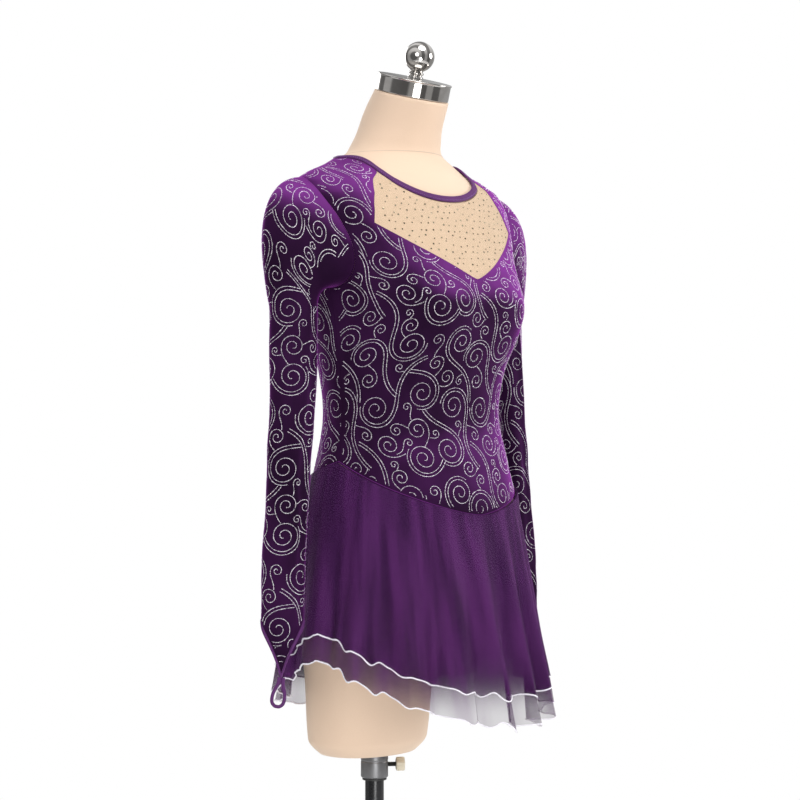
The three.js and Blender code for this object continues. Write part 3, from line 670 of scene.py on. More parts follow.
# The dress's panels. Angles run from the front through the wearer's left to the back.
SIDE = math.pi / 2
TOP = float(bodice_top(SIDE))
ARM_LOW = ARMHOLE["z"] - ARMHOLE["radius"]
ARM_HIGH = ARMHOLE["z"] + ARMHOLE["radius"]


def bodice_levels():
    steps = np.linspace(0, math.pi, 45)
    levels = np.concatenate([
        np.linspace(WAIST["blend_top"] + 4, ARM_LOW, 34),
        ARMHOLE["z"] - ARMHOLE["radius"] * np.cos(steps),
        YOKE_EDGE[:, 0],
        np.linspace(ARM_HIGH, TOP, 12),
    ])
    levels = np.unique(np.round(levels, 2))
    keep = np.concatenate([[True], np.diff(levels) > 0.35])
    keep |= np.isin(levels, np.round([ARM_LOW, ARM_HIGH, TOP, *YOKE_EDGE[:, 0]], 2))
    return levels[keep]


def half_panel(inner_edge, ahead, columns=44, waist_rows=20):
    """Angles and heights of a half panel's corners, from its middle edge to its side edge."""
    share = np.linspace(0, 1, columns + 1)
    levels = bodice_levels()
    turns, heights = [], []
    for r in range(waist_rows + 1):
        turn = share * SIDE
        angle = turn if ahead > 0 else math.pi - turn
        low = waist_height(angle, SEAM_GAP / 2)
        turns.append(turn)
        heights.append(mix(low, WAIST["blend_top"], r / waist_rows))
    for z in levels:
        last = z == levels[-1]
        edge = float(inner_edge(levels[-2] if last else z))
        turn = mix(edge, SIDE - float(armhole_reach(z)), share)
        level = np.full(columns + 1, z)
        if last:
            level = bodice_top(turn if ahead > 0 else math.pi - turn)
        turns.append(turn)
        heights.append(level)
    turns, heights = np.array(turns), np.array(heights)
    return (turns if ahead > 0 else math.pi - turns), heights


def stretch_folds(angle, z):
    """Faint diagonal drags in the velvet, at the waist and below the bust."""
    drag = np.sin(z / 17 + 2.6 * np.cos(angle * 2 + 0.6)) * np.exp(-((z - 1000) / 55) ** 2)
    under = np.sin(z / 13 - 2.2 * np.abs(np.sin(angle))) * np.exp(-((z - 1105) / 38) ** 2)
    return 0.55 * drag * np.abs(np.sin(angle)) + 0.35 * under


def bodice_face(angle, z, lift):
    """One face of the velvet. The lift is its height over the solid's outer face."""
    folds = stretch_folds(angle, z)
    return off_form(angle, z, CLOTH["clear"] + CLOTH["thick"] + lift + folds)


def bodice(name, inner_edge, ahead):
    angle, z = half_panel(inner_edge, ahead)
    cloth = Cloth()
    for sign in (1, -1):
        faces = [bodice_face(sign * angle, z, lift) for lift in (0, -CLOTH["wall"])]
        turn = np.abs(angle) if ahead > 0 else math.pi - np.abs(angle)
        at_side = SIDE - turn < 1e-6
        for face in faces:
            face[..., 1] -= np.where(at_side, ahead * SEAM_GAP * 0.5, 0)
        cloth.grid(*faces, flipped=sign < 0)
    return cloth.piece(name, VELVET)


def yoke():
    """The see-through front between the panel's edge and the bound neckline."""
    columns = 96
    share = np.linspace(-1, 1, columns + 1)
    inset = SEAM_GAP * 0.8 / 115
    corner = YOKE_EDGE[2, 0]
    angles, heights = [], []
    straight = np.concatenate([np.linspace(1201, 1266, 40), np.linspace(1268, corner, 8)])
    for z in straight:
        limit = float(front_edge(z)) - inset
        angles.append(limit * share)
        heights.append(np.full(columns + 1, z))
    for z in np.linspace(corner, YOKE_TOP - 0.4, 34)[1:]:
        limit = float(front_edge(z)) - inset
        angle = limit * share
        rise = (z - corner) / (float(bodice_top(limit)) - corner)
        angles.append(angle)
        heights.append(mix(corner, bodice_top(angle), rise))
    angles, heights = np.array(angles), np.array(heights)
    lift = CLOTH["clear"] + CLOTH["thick"]
    cloth = Cloth()
    cloth.grid(off_form(angles, heights, lift - 0.3), off_form(angles, heights, lift - 0.8))
    return cloth.piece("yoke_mesh", MESH)


def neck_binding():
    """A band folded over the neckline, rounded at both edges."""
    stations = 288
    angle = (np.arange(stations) + 0.5) / stations * 2 * math.pi
    half = BINDING["width"] / 2
    section = []
    for turn in np.linspace(0, math.pi, 9):
        crown = math.sin(turn) ** 0.5
        section.append((half * math.cos(turn), mix(1.0, BINDING["thick"], crown)))
    section += [(-half * 0.9, 0.3), (0, 0.2), (half * 0.9, 0.3)]
    rings = []
    for drop, lift in section:
        z = down_surface(angle, neckline_height(angle), drop)
        rings.append(off_form(angle, z, BINDING["clear"] + lift))
    return ring_solid("bound_neckline", np.stack(rings, 1), BINDING_CLOTH)


# The right sleeve's rings. Each ring starts under the arm and goes round by the front.
def tube_point(turn, z):
    turn, z = np.broadcast_arrays(np.asarray(turn, float), np.asarray(z, float))
    x, y = np.cos(turn), -np.sin(turn)
    broad = (x - y) / math.sqrt(2) / SLEEVE("broad", z)
    thin = (x + y) / math.sqrt(2) / SLEEVE("thin", z)
    reach = 1 / np.hypot(broad, thin)
    return np.stack([SLEEVE("x", z) + x * reach, SLEEVE("y", z) + y * reach, z], -1)


def cap_point(turn, t):
    edge = -(SIDE - ARMHOLE["angle"] * 0.985 * np.sin(turn))
    height = ARMHOLE["z"] - ARMHOLE["radius"] * 0.99 * np.cos(turn)
    start = off_form(edge, height, CLOTH["clear"] + CLOTH["thick"] * 0.75)
    end = tube_point(turn, 1165.0)
    span = np.linalg.norm(end - start, axis=-1)
    none = np.zeros_like(span)
    over = (1 - np.cos(turn)) / 2
    leaving = start + np.stack([-SLEEVE_CAP["out"] * span, none, none], -1)
    bulge = -SLEEVE_CAP["bulge"] * span * over
    arriving = end + np.stack([bulge, none, SLEEVE_CAP["drop"] * span], -1)
    a, b, c, d = (1 - t) ** 3, 3 * t * (1 - t) ** 2, 3 * t * t * (1 - t), t ** 3
    return a * start + b * leaving + c * arriving + d * end


def cuff_height(turn):
    away = np.abs(turn - SLEEVE_FACING) / (math.pi / 2)
    return CUFF["wrist"] - (CUFF["wrist"] - CUFF["point"]) * np.maximum(0, 1 - away)


def arm_creases(turn, z):
    """The empty sleeve's long crease, and the small drags at its elbow and wrist."""
    along = smooth((1185 - z) / 60) * smooth((z - 745) / 60)
    wander = 0.12 * np.sin(z / 47) + 0.05 * np.sin(z / 19 + 1)
    ridge = np.exp(-((turn - 1.62 - wander) / 0.17) ** 2)
    valley = np.exp(-((turn - 1.20 - wander) / 0.24) ** 2)
    drags = np.sin(z / 9.5 + 2.4 * turn) * np.exp(-((z - 985) / 60) ** 2)
    wrist = np.sin(z / 6.5 - 2 * turn) * np.exp(-((z - 815) / 38) ** 2)
    shoulder = np.sin(z / 11 - 3 * turn) * np.exp(-((z - 1150) / 45) ** 2)
    facing = 0.5 + 0.5 * np.cos(turn - SLEEVE_FACING)
    small = facing * (0.7 * drags + 0.5 * wrist + 0.5 * shoulder)
    return along * (2.1 * ridge - 1.5 * valley) + small


def sleeve_rings(columns=80, level=False):
    """The middle of the sleeve's wall, and the way out of it at each point.

    The last rows slope to the cuff's edge, or stay level down to its point.
    """
    turn = np.arange(columns) / columns * 2 * math.pi
    rings = [cap_point(turn, t) for t in np.linspace(0, 1, 30)[:-1]]
    rings += [tube_point(turn, z) for z in np.linspace(1165, 880, 84)]
    end = CUFF["point"] if level else cuff_height(turn)
    rings += [tube_point(turn, mix(880, end, share)) for share in np.linspace(0, 1, 36)[1:]]
    rings = np.array(rings)
    across = np.roll(rings, -1, 1) - np.roll(rings, 1, 1)
    down = np.gradient(rings, axis=0)
    out = unit(np.cross(down, across))
    outward = rings - rings.mean(axis=1, keepdims=True)
    out *= np.sign((out * outward).sum(-1, keepdims=True) + 1e-12)
    lift = arm_creases(turn[None, :], rings[..., 2]) * smooth(np.arange(len(rings)) / 22)[:, None]
    return rings + out * lift[..., None], out


def mirrored(points):
    return points * np.array([-1, 1, 1.0])


def side_of(points, side):
    return points if side == "right" else mirrored(points)


def sleeve(side):
    rings, out = sleeve_rings()
    half = CLOTH["wall"] / 2
    faces = [side_of(rings + out * lift, side) for lift in (half + 0.2, -half + 0.2)]
    cloth = Cloth()
    cloth.grid(*faces, closed=True)
    return cloth.piece(f"velvet_sleeve_{side}", VELVET)


def cuff_binding(side, columns=160):
    turn = np.arange(columns) / columns * 2 * math.pi
    section = [(CUFF["seam"], 0.3), (2.2, 1.2), (4.5, 1.6), (7, 1.3), (CUFF["band"], 0.5),
               (CUFF["band"], -0.4), (4.5, -0.6), (CUFF["seam"], -0.5)]
    rings = []
    for drop, lift in section:
        points = tube_point(turn, cuff_height(turn) - drop)
        z = points[:, 2]
        middle = np.stack([SLEEVE("x", z), SLEEVE("y", z), z], -1)
        rings.append(side_of(points + unit(points - middle) * lift, side))
    return ring_solid(f"cuff_binding_tape_{side}", np.stack(rings, 1), BINDING_CLOTH)


def finger_loop(side):
    """The loop of tape that holds the cuff's point on the middle finger."""
    height, half = LOOP["height"], LOOP["half"] - 2.6
    corners = [(-2.2, 3), (-3, -height * 0.16), (-half, -height * 0.5), (-half, -height * 0.78)]
    corners += [(-half * 0.5, -height + 3.0), (0, -height + 2.3)]
    corners += [(-x, z) for x, z in reversed(corners[:-1])]
    flat = smooth_path(np.array(corners, float), 96)
    lean = LOOP["lean"]
    across = flat[:, 0] * math.cos(lean) - flat[:, 1] * math.sin(lean)
    up = flat[:, 0] * math.sin(lean) + flat[:, 1] * math.cos(lean)
    top = CUFF["point"] - CUFF["band"] - SEAM_GAP
    facing = np.array([-1, -1, 0]) / math.sqrt(2)
    sideways = np.array([1, -1, 0]) / math.sqrt(2)
    place = np.array([SLEEVE("x", top), SLEEVE("y", top), top]) + facing * SLEEVE("thin", top)
    path = place + across[:, None] * sideways + up[:, None] * np.array([0, 0, 1.0])
    path = side_of(path, side)
    out = side_of(np.broadcast_to(facing, path.shape), side)
    name = f"finger_loop_tape_{side}"
    return tube(name, path, 2.1, BINDING_CLOTH, closed=False, sides=12, flatten=0.5, normals=out)


def smooth_path(corners, count):
    """A smooth line through its corners, evenly stepped."""
    t = np.arange(len(corners))
    fine = np.linspace(0, len(corners) - 1, count)
    slopes = np.gradient(corners, axis=0)
    i = np.clip(fine.astype(int), 0, len(corners) - 2)
    u = (fine - t[i])[:, None]
    start = corners[i] * (1 + 2 * u) * (1 - u) ** 2 + slopes[i] * u * (1 - u) ** 2
    end = corners[i + 1] * u * u * (3 - 2 * u) + slopes[i + 1] * u * u * (u - 1)
    return start + end


# The skirt hangs from the waist seam to its hems and stands off the hips
def hem_height(angle, hem):
    ahead = np.cos(angle)
    end = np.where(ahead >= 0, hem["front"], hem["back"])
    fall = (hem["side"] - end) * np.hypot(ahead, HEM["round"]) ** HEM["curve"]
    return hem["side"] - fall - HEM["side_lift"] * np.sin(angle)


def fold_depth(angle):
    turn = (angle - FOLD_ANGLES[0]) % (2 * math.pi) + FOLD_ANGLES[0]
    i = np.clip(np.searchsorted(FOLD_ANGLES, turn, side="right") - 1, 0, len(FOLD_ANGLES) - 2)
    share = (turn - FOLD_ANGLES[i]) / (FOLD_ANGLES[i + 1] - FOLD_ANGLES[i])
    return mix(FOLD_DEPTHS[i], FOLD_DEPTHS[i + 1], share) * np.cos(2 * math.pi * share)


def flutter(angle, share):
    """How far the rolled hems' waves push the chiffon's lower edge in and out."""
    near = smooth((share - 0.72) / 0.34)
    swell = 0.65 + 0.35 * np.sin(angle * 9 + 1)
    wide = np.sin(angle * 43 + 1.5 * np.sin(angle * 5))
    fine = np.sin(angle * 79 + 2.0 * np.sin(angle * 7))
    return near * swell * (3.6 * wide + 1.3 * fine)


def ripple(angle, share):
    """How far the rolled hems' waves lift and drop the chiffon's lower edge."""
    wave = np.sin(angle * 33 + 1.9 * np.sin(angle * 4) + 0.6) + 0.35 * np.sin(angle * 57 + 2)
    return smooth((share - 0.8) / 0.25) * (2.4 + 1.4 * np.sin(angle * 6 + 2)) * wave


def skirt_point(angle, drop, distance):
    seam = waist_height(angle, -SEAM_GAP / 2)
    share = drop / (seam - hem_height(angle, HEM_UPPER))
    z = seam - drop + ripple(angle + distance * 0.02, share)
    top = off_form(angle, seam, distance)
    reach = np.where(np.cos(angle) >= 0, HEM["front"] - HEM["middle"], HEM["middle"] - HEM["back"])
    hem = np.stack([HEM["half"] * np.sin(angle), HEM["middle"] + reach * np.cos(angle), z], -1)
    point = top + (hem - top) * (share ** SKIRT["flare"])[..., None]
    point[..., 2] = z
    zero = np.zeros_like(z)
    middle = np.stack([zero, FORM("widest", z), z], -1)
    out = point - middle
    out[..., 2] = 0
    folds = fold_depth(angle) * share ** 1.3 + flutter(angle, share)
    length = np.linalg.norm(out, axis=-1) + distance * share + folds
    hips = off_form(angle, z, SKIRT["form_gap"] + distance) - middle
    hips[..., 2] = 0
    limit = np.linalg.norm(hips, axis=-1)
    clear = (length + limit + np.hypot(length - limit, SKIRT["ease"] * share)) / 2
    return middle + unit(out) * clear[..., None]


def skirt_angles(per_fold=26):
    starts, ends = FOLD_ANGLES[:-1], FOLD_ANGLES[1:]
    share = np.arange(per_fold) / per_fold
    return (starts[:, None] + (ends - starts)[:, None] * share).ravel()


def skirt_layer(name, hem, distance):
    angle = skirt_angles()[None, :]
    seam = waist_height(angle, -SEAM_GAP / 2)
    length = seam - hem_height(angle, HEM_UPPER)
    share = np.linspace(0, 1, 58)[:, None] ** 0.9
    drop = share * length
    if hem is HEM_LOWER:
        rest = np.linspace(0, 1, 9)[1:, None]
        drop = np.concatenate([drop, mix(length, seam - hem_height(angle, hem), rest)])
    angle = np.broadcast_to(angle, drop.shape)
    cloth = Cloth()
    inner = skirt_point(angle, drop, distance)
    cut = np.stack([angle * HEM["half"], drop], -1)
    cloth.grid(skirt_point(angle, drop, distance + SKIRT["thick"]), inner, cut, closed=True)
    return cloth.piece(name, CHIFFON)


def hem_line(hem, distance, per_fold=72):
    angle = skirt_angles(per_fold)
    seam = waist_height(angle, -SEAM_GAP / 2)
    drop = seam - hem_height(angle, hem)
    return skirt_point(angle, drop, distance + SKIRT["thick"] / 2)


# Small shapes spread over points, with Geometry Nodes
def spread_tree(name, shape, material):
    """A tree that puts a small shape on each point, turned to its out and ahead directions."""
    tree = bpy.data.node_groups.new(name, "GeometryNodeTree")
    for label, kind in (("Points", "Geometry"), ("Size", "Vector"), ("Spread", "Float"),
                        ("Tilt", "Float"), ("Seed", "Int")):
        tree.interface.new_socket(label, in_out="INPUT", socket_type=f"NodeSocket{kind}")
    tree.interface.new_socket("Shapes", in_out="OUTPUT", socket_type="NodeSocketGeometry")
    nodes = Nodes(tree)
    given = nodes.add("NodeGroupInput").outputs
    vector = {"data_type": "FLOAT_VECTOR"}
    out, ahead = (
        nodes.add("GeometryNodeInputNamedAttribute", vector, {0: axis}).outputs[0]
        for axis in ("out", "ahead")
    )
    facing = nodes.add("FunctionNodeAxesToRotation", {"primary_axis": "Z", "secondary_axis": "X"},
                       {0: out, 1: ahead}).outputs[0]
    scale = {"operation": "SCALE"}
    low, high = (
        nodes.add("ShaderNodeVectorMath", scale, {0: way, "Scale": given["Tilt"]}).outputs[0]
        for way in ((-1, -1, -1), (1, 1, 1))
    )
    tilt = nodes.add("FunctionNodeRandomValue", vector,
                     {0: low, 1: high, "Seed": given["Seed"]}).outputs[0]
    turn = nodes.add("FunctionNodeEulerToRotation", {}, {0: tilt}).outputs[0]
    turned = nodes.add("FunctionNodeRotateRotation", {"rotation_space": "LOCAL"},
                       {0: facing, 1: turn})
    least = 1 - Value(nodes, given["Spread"])
    most = Value(nodes, given["Spread"]) + 1
    factor = nodes.add("FunctionNodeRandomValue", {"data_type": "FLOAT"},
                       {2: least, 3: most, "Seed": given["Seed"]}).outputs[1]
    size = nodes.add("ShaderNodeVectorMath", scale, {0: given["Size"], "Scale": factor})
    small = nodes.add(*shape).outputs[0]
    placed = nodes.add("GeometryNodeInstanceOnPoints", {}, {
        "Points": given["Points"], "Instance": small, "Rotation": turned.outputs[0],
        "Scale": size.outputs[0],
    })
    real = nodes.add("GeometryNodeRealizeInstances", {}, {0: placed.outputs[0]})
    painted = nodes.add("GeometryNodeSetMaterial", {}, {0: real.outputs[0], "Material": material})
    nodes.add("NodeGroupOutput", {}, {0: painted.outputs[0]})
    return tree


def spread(name, tree, points, out, ahead, size, vary=0.0, tilt=0.0):
    """The tree's shapes on points in millimetres, as one plain mesh."""
    mesh = bpy.data.meshes.new(name)
    mesh.from_pydata((points * MM).tolist(), [], [])
    for axis, values in (("out", out), ("ahead", ahead)):
        attribute = mesh.attributes.new(axis, "FLOAT_VECTOR", "POINT")
        attribute.data.foreach_set("vector", np.asarray(values, np.float32).ravel())
    carrier = bpy.data.objects.new(name + "_points", mesh)
    bpy.context.scene.collection.objects.link(carrier)
    modifier = carrier.modifiers.new("spread", "NODES")
    modifier.node_group = tree
    values = {"Size": [s * MM for s in size], "Spread": vary, "Tilt": tilt, "Seed": SEED}
    for socket in tree.interface.items_tree:
        if socket.in_out == "INPUT" and socket.name in values:
            modifier[socket.identifier] = values[socket.name]
    made = carrier.evaluated_get(bpy.context.evaluated_depsgraph_get())
    shapes = bpy.data.objects.new(name, bpy.data.meshes.new_from_object(made))
    bpy.context.scene.collection.objects.link(shapes)
    bpy.data.objects.remove(carrier)
    return shapes


FLECK = ("GeometryNodeMeshCone", {"fill_type": "TRIANGLE_FAN"},
         {"Vertices": 4, "Radius Top": 0.0, "Radius Bottom": 1.0, "Depth": 0.7})
GEM = ("GeometryNodeMeshCone", {"fill_type": "NGON"},
       {"Vertices": 8, "Radius Top": 0.55, "Radius Bottom": 1.0, "Depth": 0.8})
STITCH = ("GeometryNodeMeshIcoSphere", {}, {"Radius": 1.0, "Subdivisions": 2})


# The glitter scrolls. They are drawn on flat cloth, and each panel's chart lays them on it.
# Where rows of the chart come closer than this share, the cloth is gathered and left plain
LEAST_REACH = 0.6


class Chart:
    """The way from flat cloth to a panel: the places of a fine grid of its points."""

    def __init__(self, points, out, inside, middle, reference):
        self.points, self.out, self.inside = points, out, inside
        steps = np.linalg.norm(np.diff(points, axis=1), axis=-1)
        across = np.concatenate([np.zeros((len(points), 1)), np.cumsum(steps, axis=1)], axis=1)
        self.across = across - across[:, middle][:, None]
        steps = np.linalg.norm(np.diff(points[:, reference], axis=0), axis=-1)
        self.down = np.concatenate([[0], np.cumsum(steps)])
        reach = np.linalg.norm(np.diff(points, axis=0), axis=-1)
        self.inside[:-1] &= reach > LEAST_REACH * steps[:, None]

    def lay(self, flat):
        """Points, ways out and an inside mark for places (across, down) on flat cloth."""
        rows = np.interp(flat[:, 1], self.down, np.arange(len(self.down)), left=-1, right=-1)
        points, outs, inside = [], [], []
        for (s, _), row in zip(flat, rows):
            r = min(max(int(row), 0), len(self.down) - 2)
            share = row - r
            corner, way, within = [], [], row >= 0
            for k in (r, r + 1):
                line = self.across[k]
                column = np.interp(s, line, np.arange(len(line)))
                c = min(int(column), len(line) - 2)
                part = column - c
                corner.append(mix(self.points[k, c], self.points[k, c + 1], part))
                way.append(mix(self.out[k, c], self.out[k, c + 1], part))
                within &= line[0] < s < line[-1] and bool(self.inside[k, c])
            points.append(mix(corner[0], corner[1], share))
            outs.append(mix(way[0], way[1], share))
            inside.append(within)
        return np.array(points), unit(np.array(outs)), np.array(inside)


def bodice_chart(ahead):
    z = np.arange(905, TOP, 2.0)[:, None]
    turn = np.linspace(-SIDE, SIDE, 241)[None, :]
    angle = turn if ahead > 0 else math.pi + turn
    angle, z = np.broadcast_arrays(angle, z)
    points = bodice_face(angle, z, 0.12)
    out = unit(points - off_form(angle, z, 0.0))
    edge = 2.2 * DEGREE
    inside = z > waist_height(angle, 2.5)
    inside &= np.abs(turn) < SIDE - armhole_reach(z) - edge
    if ahead > 0:
        inside &= (np.abs(turn) > front_edge(z) + edge) | (z < YOKE_EDGE[0, 0] - 3)
    else:
        inside &= z < bodice_top(angle) - 1.5
    return Chart(points[::-1], out[::-1], inside[::-1], 120, 170)


def sleeve_chart(side):
    rings, out = sleeve_rings(120, level=True)
    points = side_of(rings + out * (CLOTH["wall"] / 2 + 0.32), side)
    out = side_of(out, side)
    points = np.concatenate([points, points[:, :1]], axis=1)
    out = np.concatenate([out, out[:, :1]], axis=1)
    inside = points[..., 2] > cuff_height(np.arange(121) / 120 * 2 * math.pi) + 2.5
    inside[:2] = False
    return Chart(points, out, inside, 45, 45)


# One repeat of the all-over scrolls, filled from the largest scroll to the smallest
REPEAT = {"width": 150, "height": 190, "step": 1.0, "pair": 4.0, "room": 4, "touch": 1}
SCROLL_SIZES = [
    # outer radius, turns, tail, how many are tried, and whether its outer line is doubled
    {"radius": 19, "turns": 2.1, "tail": 95, "tries": 70, "doubled": True},
    {"radius": 14, "turns": 1.8, "tail": 80, "tries": 260, "doubled": False},
    {"radius": 10.5, "turns": 1.6, "tail": 62, "tries": 1000, "doubled": False},
    {"radius": 7.5, "turns": 1.4, "tail": 44, "tries": 1800, "doubled": False},
    {"radius": 5.2, "turns": 1.2, "tail": 26, "tries": 1500, "doubled": False},
]


class Marks:
    """Cells of the repeat that lie within a distance of a drawn line."""

    def __init__(self, reach):
        self.cells = np.zeros((REPEAT["width"], REPEAT["height"]), bool)
        span = np.arange(-reach, reach + 1)
        grid = np.array([(a, b) for a in span for b in span if a * a + b * b <= reach * reach + 1])
        self.offsets = grid

    def _cells(self, line):
        cells = np.floor(line).astype(int)
        return cells[:, 0] % REPEAT["width"], cells[:, 1] % REPEAT["height"]

    def met(self, line):
        return self.cells[self._cells(line)]

    def draw(self, line):
        spread_out = (line[:, None, :] + self.offsets[None, :, :]).reshape(-1, 2)
        self.cells[self._cells(spread_out)] = True


def curl(centre, radius, turns, start, hand):
    """A spiral from its middle out, evenly stepped."""
    turn = np.linspace(0.6, turns * 2 * math.pi, 200)
    reach = radius * (0.10 + 0.90 * (turn / turn[-1]) ** 0.95)
    way = start + hand * turn
    return centre + np.stack([np.cos(way), np.sin(way)], -1) * reach[:, None]


def tail_of(line, radius, length, hand):
    """The stem that leaves a spiral and swings gently the other way."""
    step = REPEAT["step"]
    ahead = line[-1] - line[-2]
    share = np.arange(int(length / step)) * step / length
    bend = hand * mix(0.8 / radius, -1.0 / (radius * 2.6), smooth(share * 1.8))
    turn = math.atan2(ahead[1], ahead[0]) + np.cumsum(bend) * step
    return line[-1] + np.cumsum(np.stack([np.cos(turn), np.sin(turn)], -1) * step, axis=0)


def beside(line, distance):
    ahead = unit(np.gradient(line, axis=0))
    return line + np.stack([ahead[:, 1], -ahead[:, 0]], -1) * distance


def scroll_repeat():
    """Scrolls placed where there is room, whose stems run on to the next line."""
    random = np.random.default_rng(SEED)
    size = np.array([REPEAT["width"], REPEAT["height"]])
    near, close = Marks(REPEAT["room"]), Marks(REPEAT["touch"])
    lines = []
    for kind in SCROLL_SIZES:
        for _ in range(kind["tries"]):
            centre = random.random(2) * size
            hand = 1 if random.random() < 0.5 else -1
            start = random.random() * 2 * math.pi
            spiral = curl(centre, kind["radius"], kind["turns"], start, hand)
            if near.met(spiral).any() or near.met(centre[None, :]).any():
                continue
            tail = tail_of(spiral, kind["radius"], kind["tail"], hand)
            meets = close.met(tail)
            end = int(np.argmax(meets)) + 1 if meets.any() else len(tail)
            crowded = near.met(tail[:max(end - 5, 0)]).mean() if end > 5 else 1.0
            if end < kind["radius"] or crowded > 0.2:
                continue
            whole = np.concatenate([spiral, tail[:end]])
            drawn = [whole]
            if kind["doubled"]:
                outer = whole[int(len(spiral) * 0.8):]
                drawn.append(beside(outer, hand * REPEAT["pair"]))
            for line in drawn:
                lines.append(line)
                near.draw(line)
                close.draw(line)
    return lines


def flat_steps(line, pitch):
    way = np.concatenate([[0], np.cumsum(np.linalg.norm(np.diff(line, axis=0), axis=-1))])
    at = np.arange(0, way[-1], pitch)
    return np.stack([np.interp(at, way, line[:, k]) for k in range(2)], -1)


FLECK_PITCH = 1.15
SCROLL_FLECKS = np.concatenate([flat_steps(line, FLECK_PITCH) for line in scroll_repeat()])


def glitter_on(name, chart, shift, tree):
    """The scrolls that fall on a panel, as flecks a little above its velvet."""
    low, high = chart.across.min(), chart.across.max()
    flat = []
    for left in np.arange(low - 2 * REPEAT["width"] + shift[0], high, REPEAT["width"]):
        for bottom in np.arange(shift[1] - 2 * REPEAT["height"], chart.down[-1], REPEAT["height"]):
            flat.append(SCROLL_FLECKS + np.array([left, bottom]))
    flat = np.concatenate(flat)
    across, down = flat.T
    near = (across > low) & (across < high) & (down > 0) & (down < chart.down[-1])
    points, out, inside = chart.lay(flat[near])
    points, out = points[inside], out[inside]
    ahead = unit(np.cross(out, np.array([0.3, 0.5, 1.0])))
    return spread(name, tree, points, out, ahead, (0.5, 0.5, 0.32), vary=0.35, tilt=0.5)


# Small stones on the yoke, and stitches along seams and hems
def yoke_stones(tree):
    pitch, drift = 11.5, 1.6
    random = np.random.default_rng(SEED)
    places = []
    for row, down in enumerate(np.arange(4, 200, pitch * 0.8)):
        for across in np.arange(-130, 130, pitch):
            place = np.array([across + pitch / 2 * (row % 2), down])
            places.append(place + drift * random.normal(size=2))
    z = np.arange(1196, 1352, 1.5)[:, None]
    turn = np.linspace(-62, 62, 201)[None, :] * DEGREE
    angle, z = np.broadcast_arrays(turn, z)
    lift = CLOTH["clear"] + CLOTH["thick"] - 0.3
    points = off_form(angle, z, lift)
    out = unit(points - off_form(angle, z, 0.0))
    inside = (np.abs(angle) < front_edge(z) - 1.8 * DEGREE) & (z > YOKE_EDGE[0, 0] + 4)
    inside &= z < down_surface(angle, bodice_top(angle), 2.0)
    chart = Chart(points[::-1], out[::-1], inside[::-1], 100, 100)
    points, out, inside = chart.lay(np.array(places))
    ahead = unit(np.cross(out[inside], np.array([0, 0, 1.0])))
    return spread("yoke_stones", tree, points[inside], out[inside], ahead, (1.15, 1.15, 0.95),
                  vary=0.25, tilt=0.15)


def along(line, pitch, closed=True):
    """Evenly stepped points on a line, and the way ahead at each."""
    if closed:
        line = np.concatenate([line, line[:1]])
    steps = np.linalg.norm(np.diff(line, axis=0), axis=-1)
    way = np.concatenate([[0], np.cumsum(steps)])
    at = np.arange(0, way[-1], pitch)
    points = np.stack([np.interp(at, way, line[:, k]) for k in range(3)], -1)
    later = np.stack([np.interp(at + pitch / 3, way, line[:, k]) for k in range(3)], -1)
    return points, unit(later - points + 1e-9)


# The form and the stand
def form_body():
    """The padded body under its jersey, rounded in at the foot."""
    columns = 200
    angle = np.arange(columns) / columns * 2 * math.pi
    rings = []
    for turn in np.linspace(0, math.pi / 2, 12):
        z = 602 + 20 * (1 - math.cos(turn))
        scale = 0.87 + 0.13 * math.sin(turn)
        rings.append((angle, z, scale))
    rings += [(angle, z, 1.0) for z in np.linspace(626, NECK["top"], 260)]
    made = []
    for around, z, scale in rings:
        points = off_form(around, z, -0.6)
        widest = float(FORM("widest", z))
        points[:, 0] *= scale
        points[:, 1] = widest + (points[:, 1] - widest) * scale
        made.append(points)
    return ring_solid("jersey_form", made, JERSEY, ends=True)


def neck_seam():
    """The seam round the neck's base, where the jersey's two pieces are joined."""
    angle = np.linspace(0, 2 * math.pi, 240, endpoint=False)
    height = 1362 + 3 * np.cos(angle)
    path = off_form(angle, height, -0.6)
    out = unit(path - off_form(angle, height, -3.0))
    return tube("neck_seam", path, 0.6, BEIGE_THREAD, sides=8, flatten=0.55, normals=out)


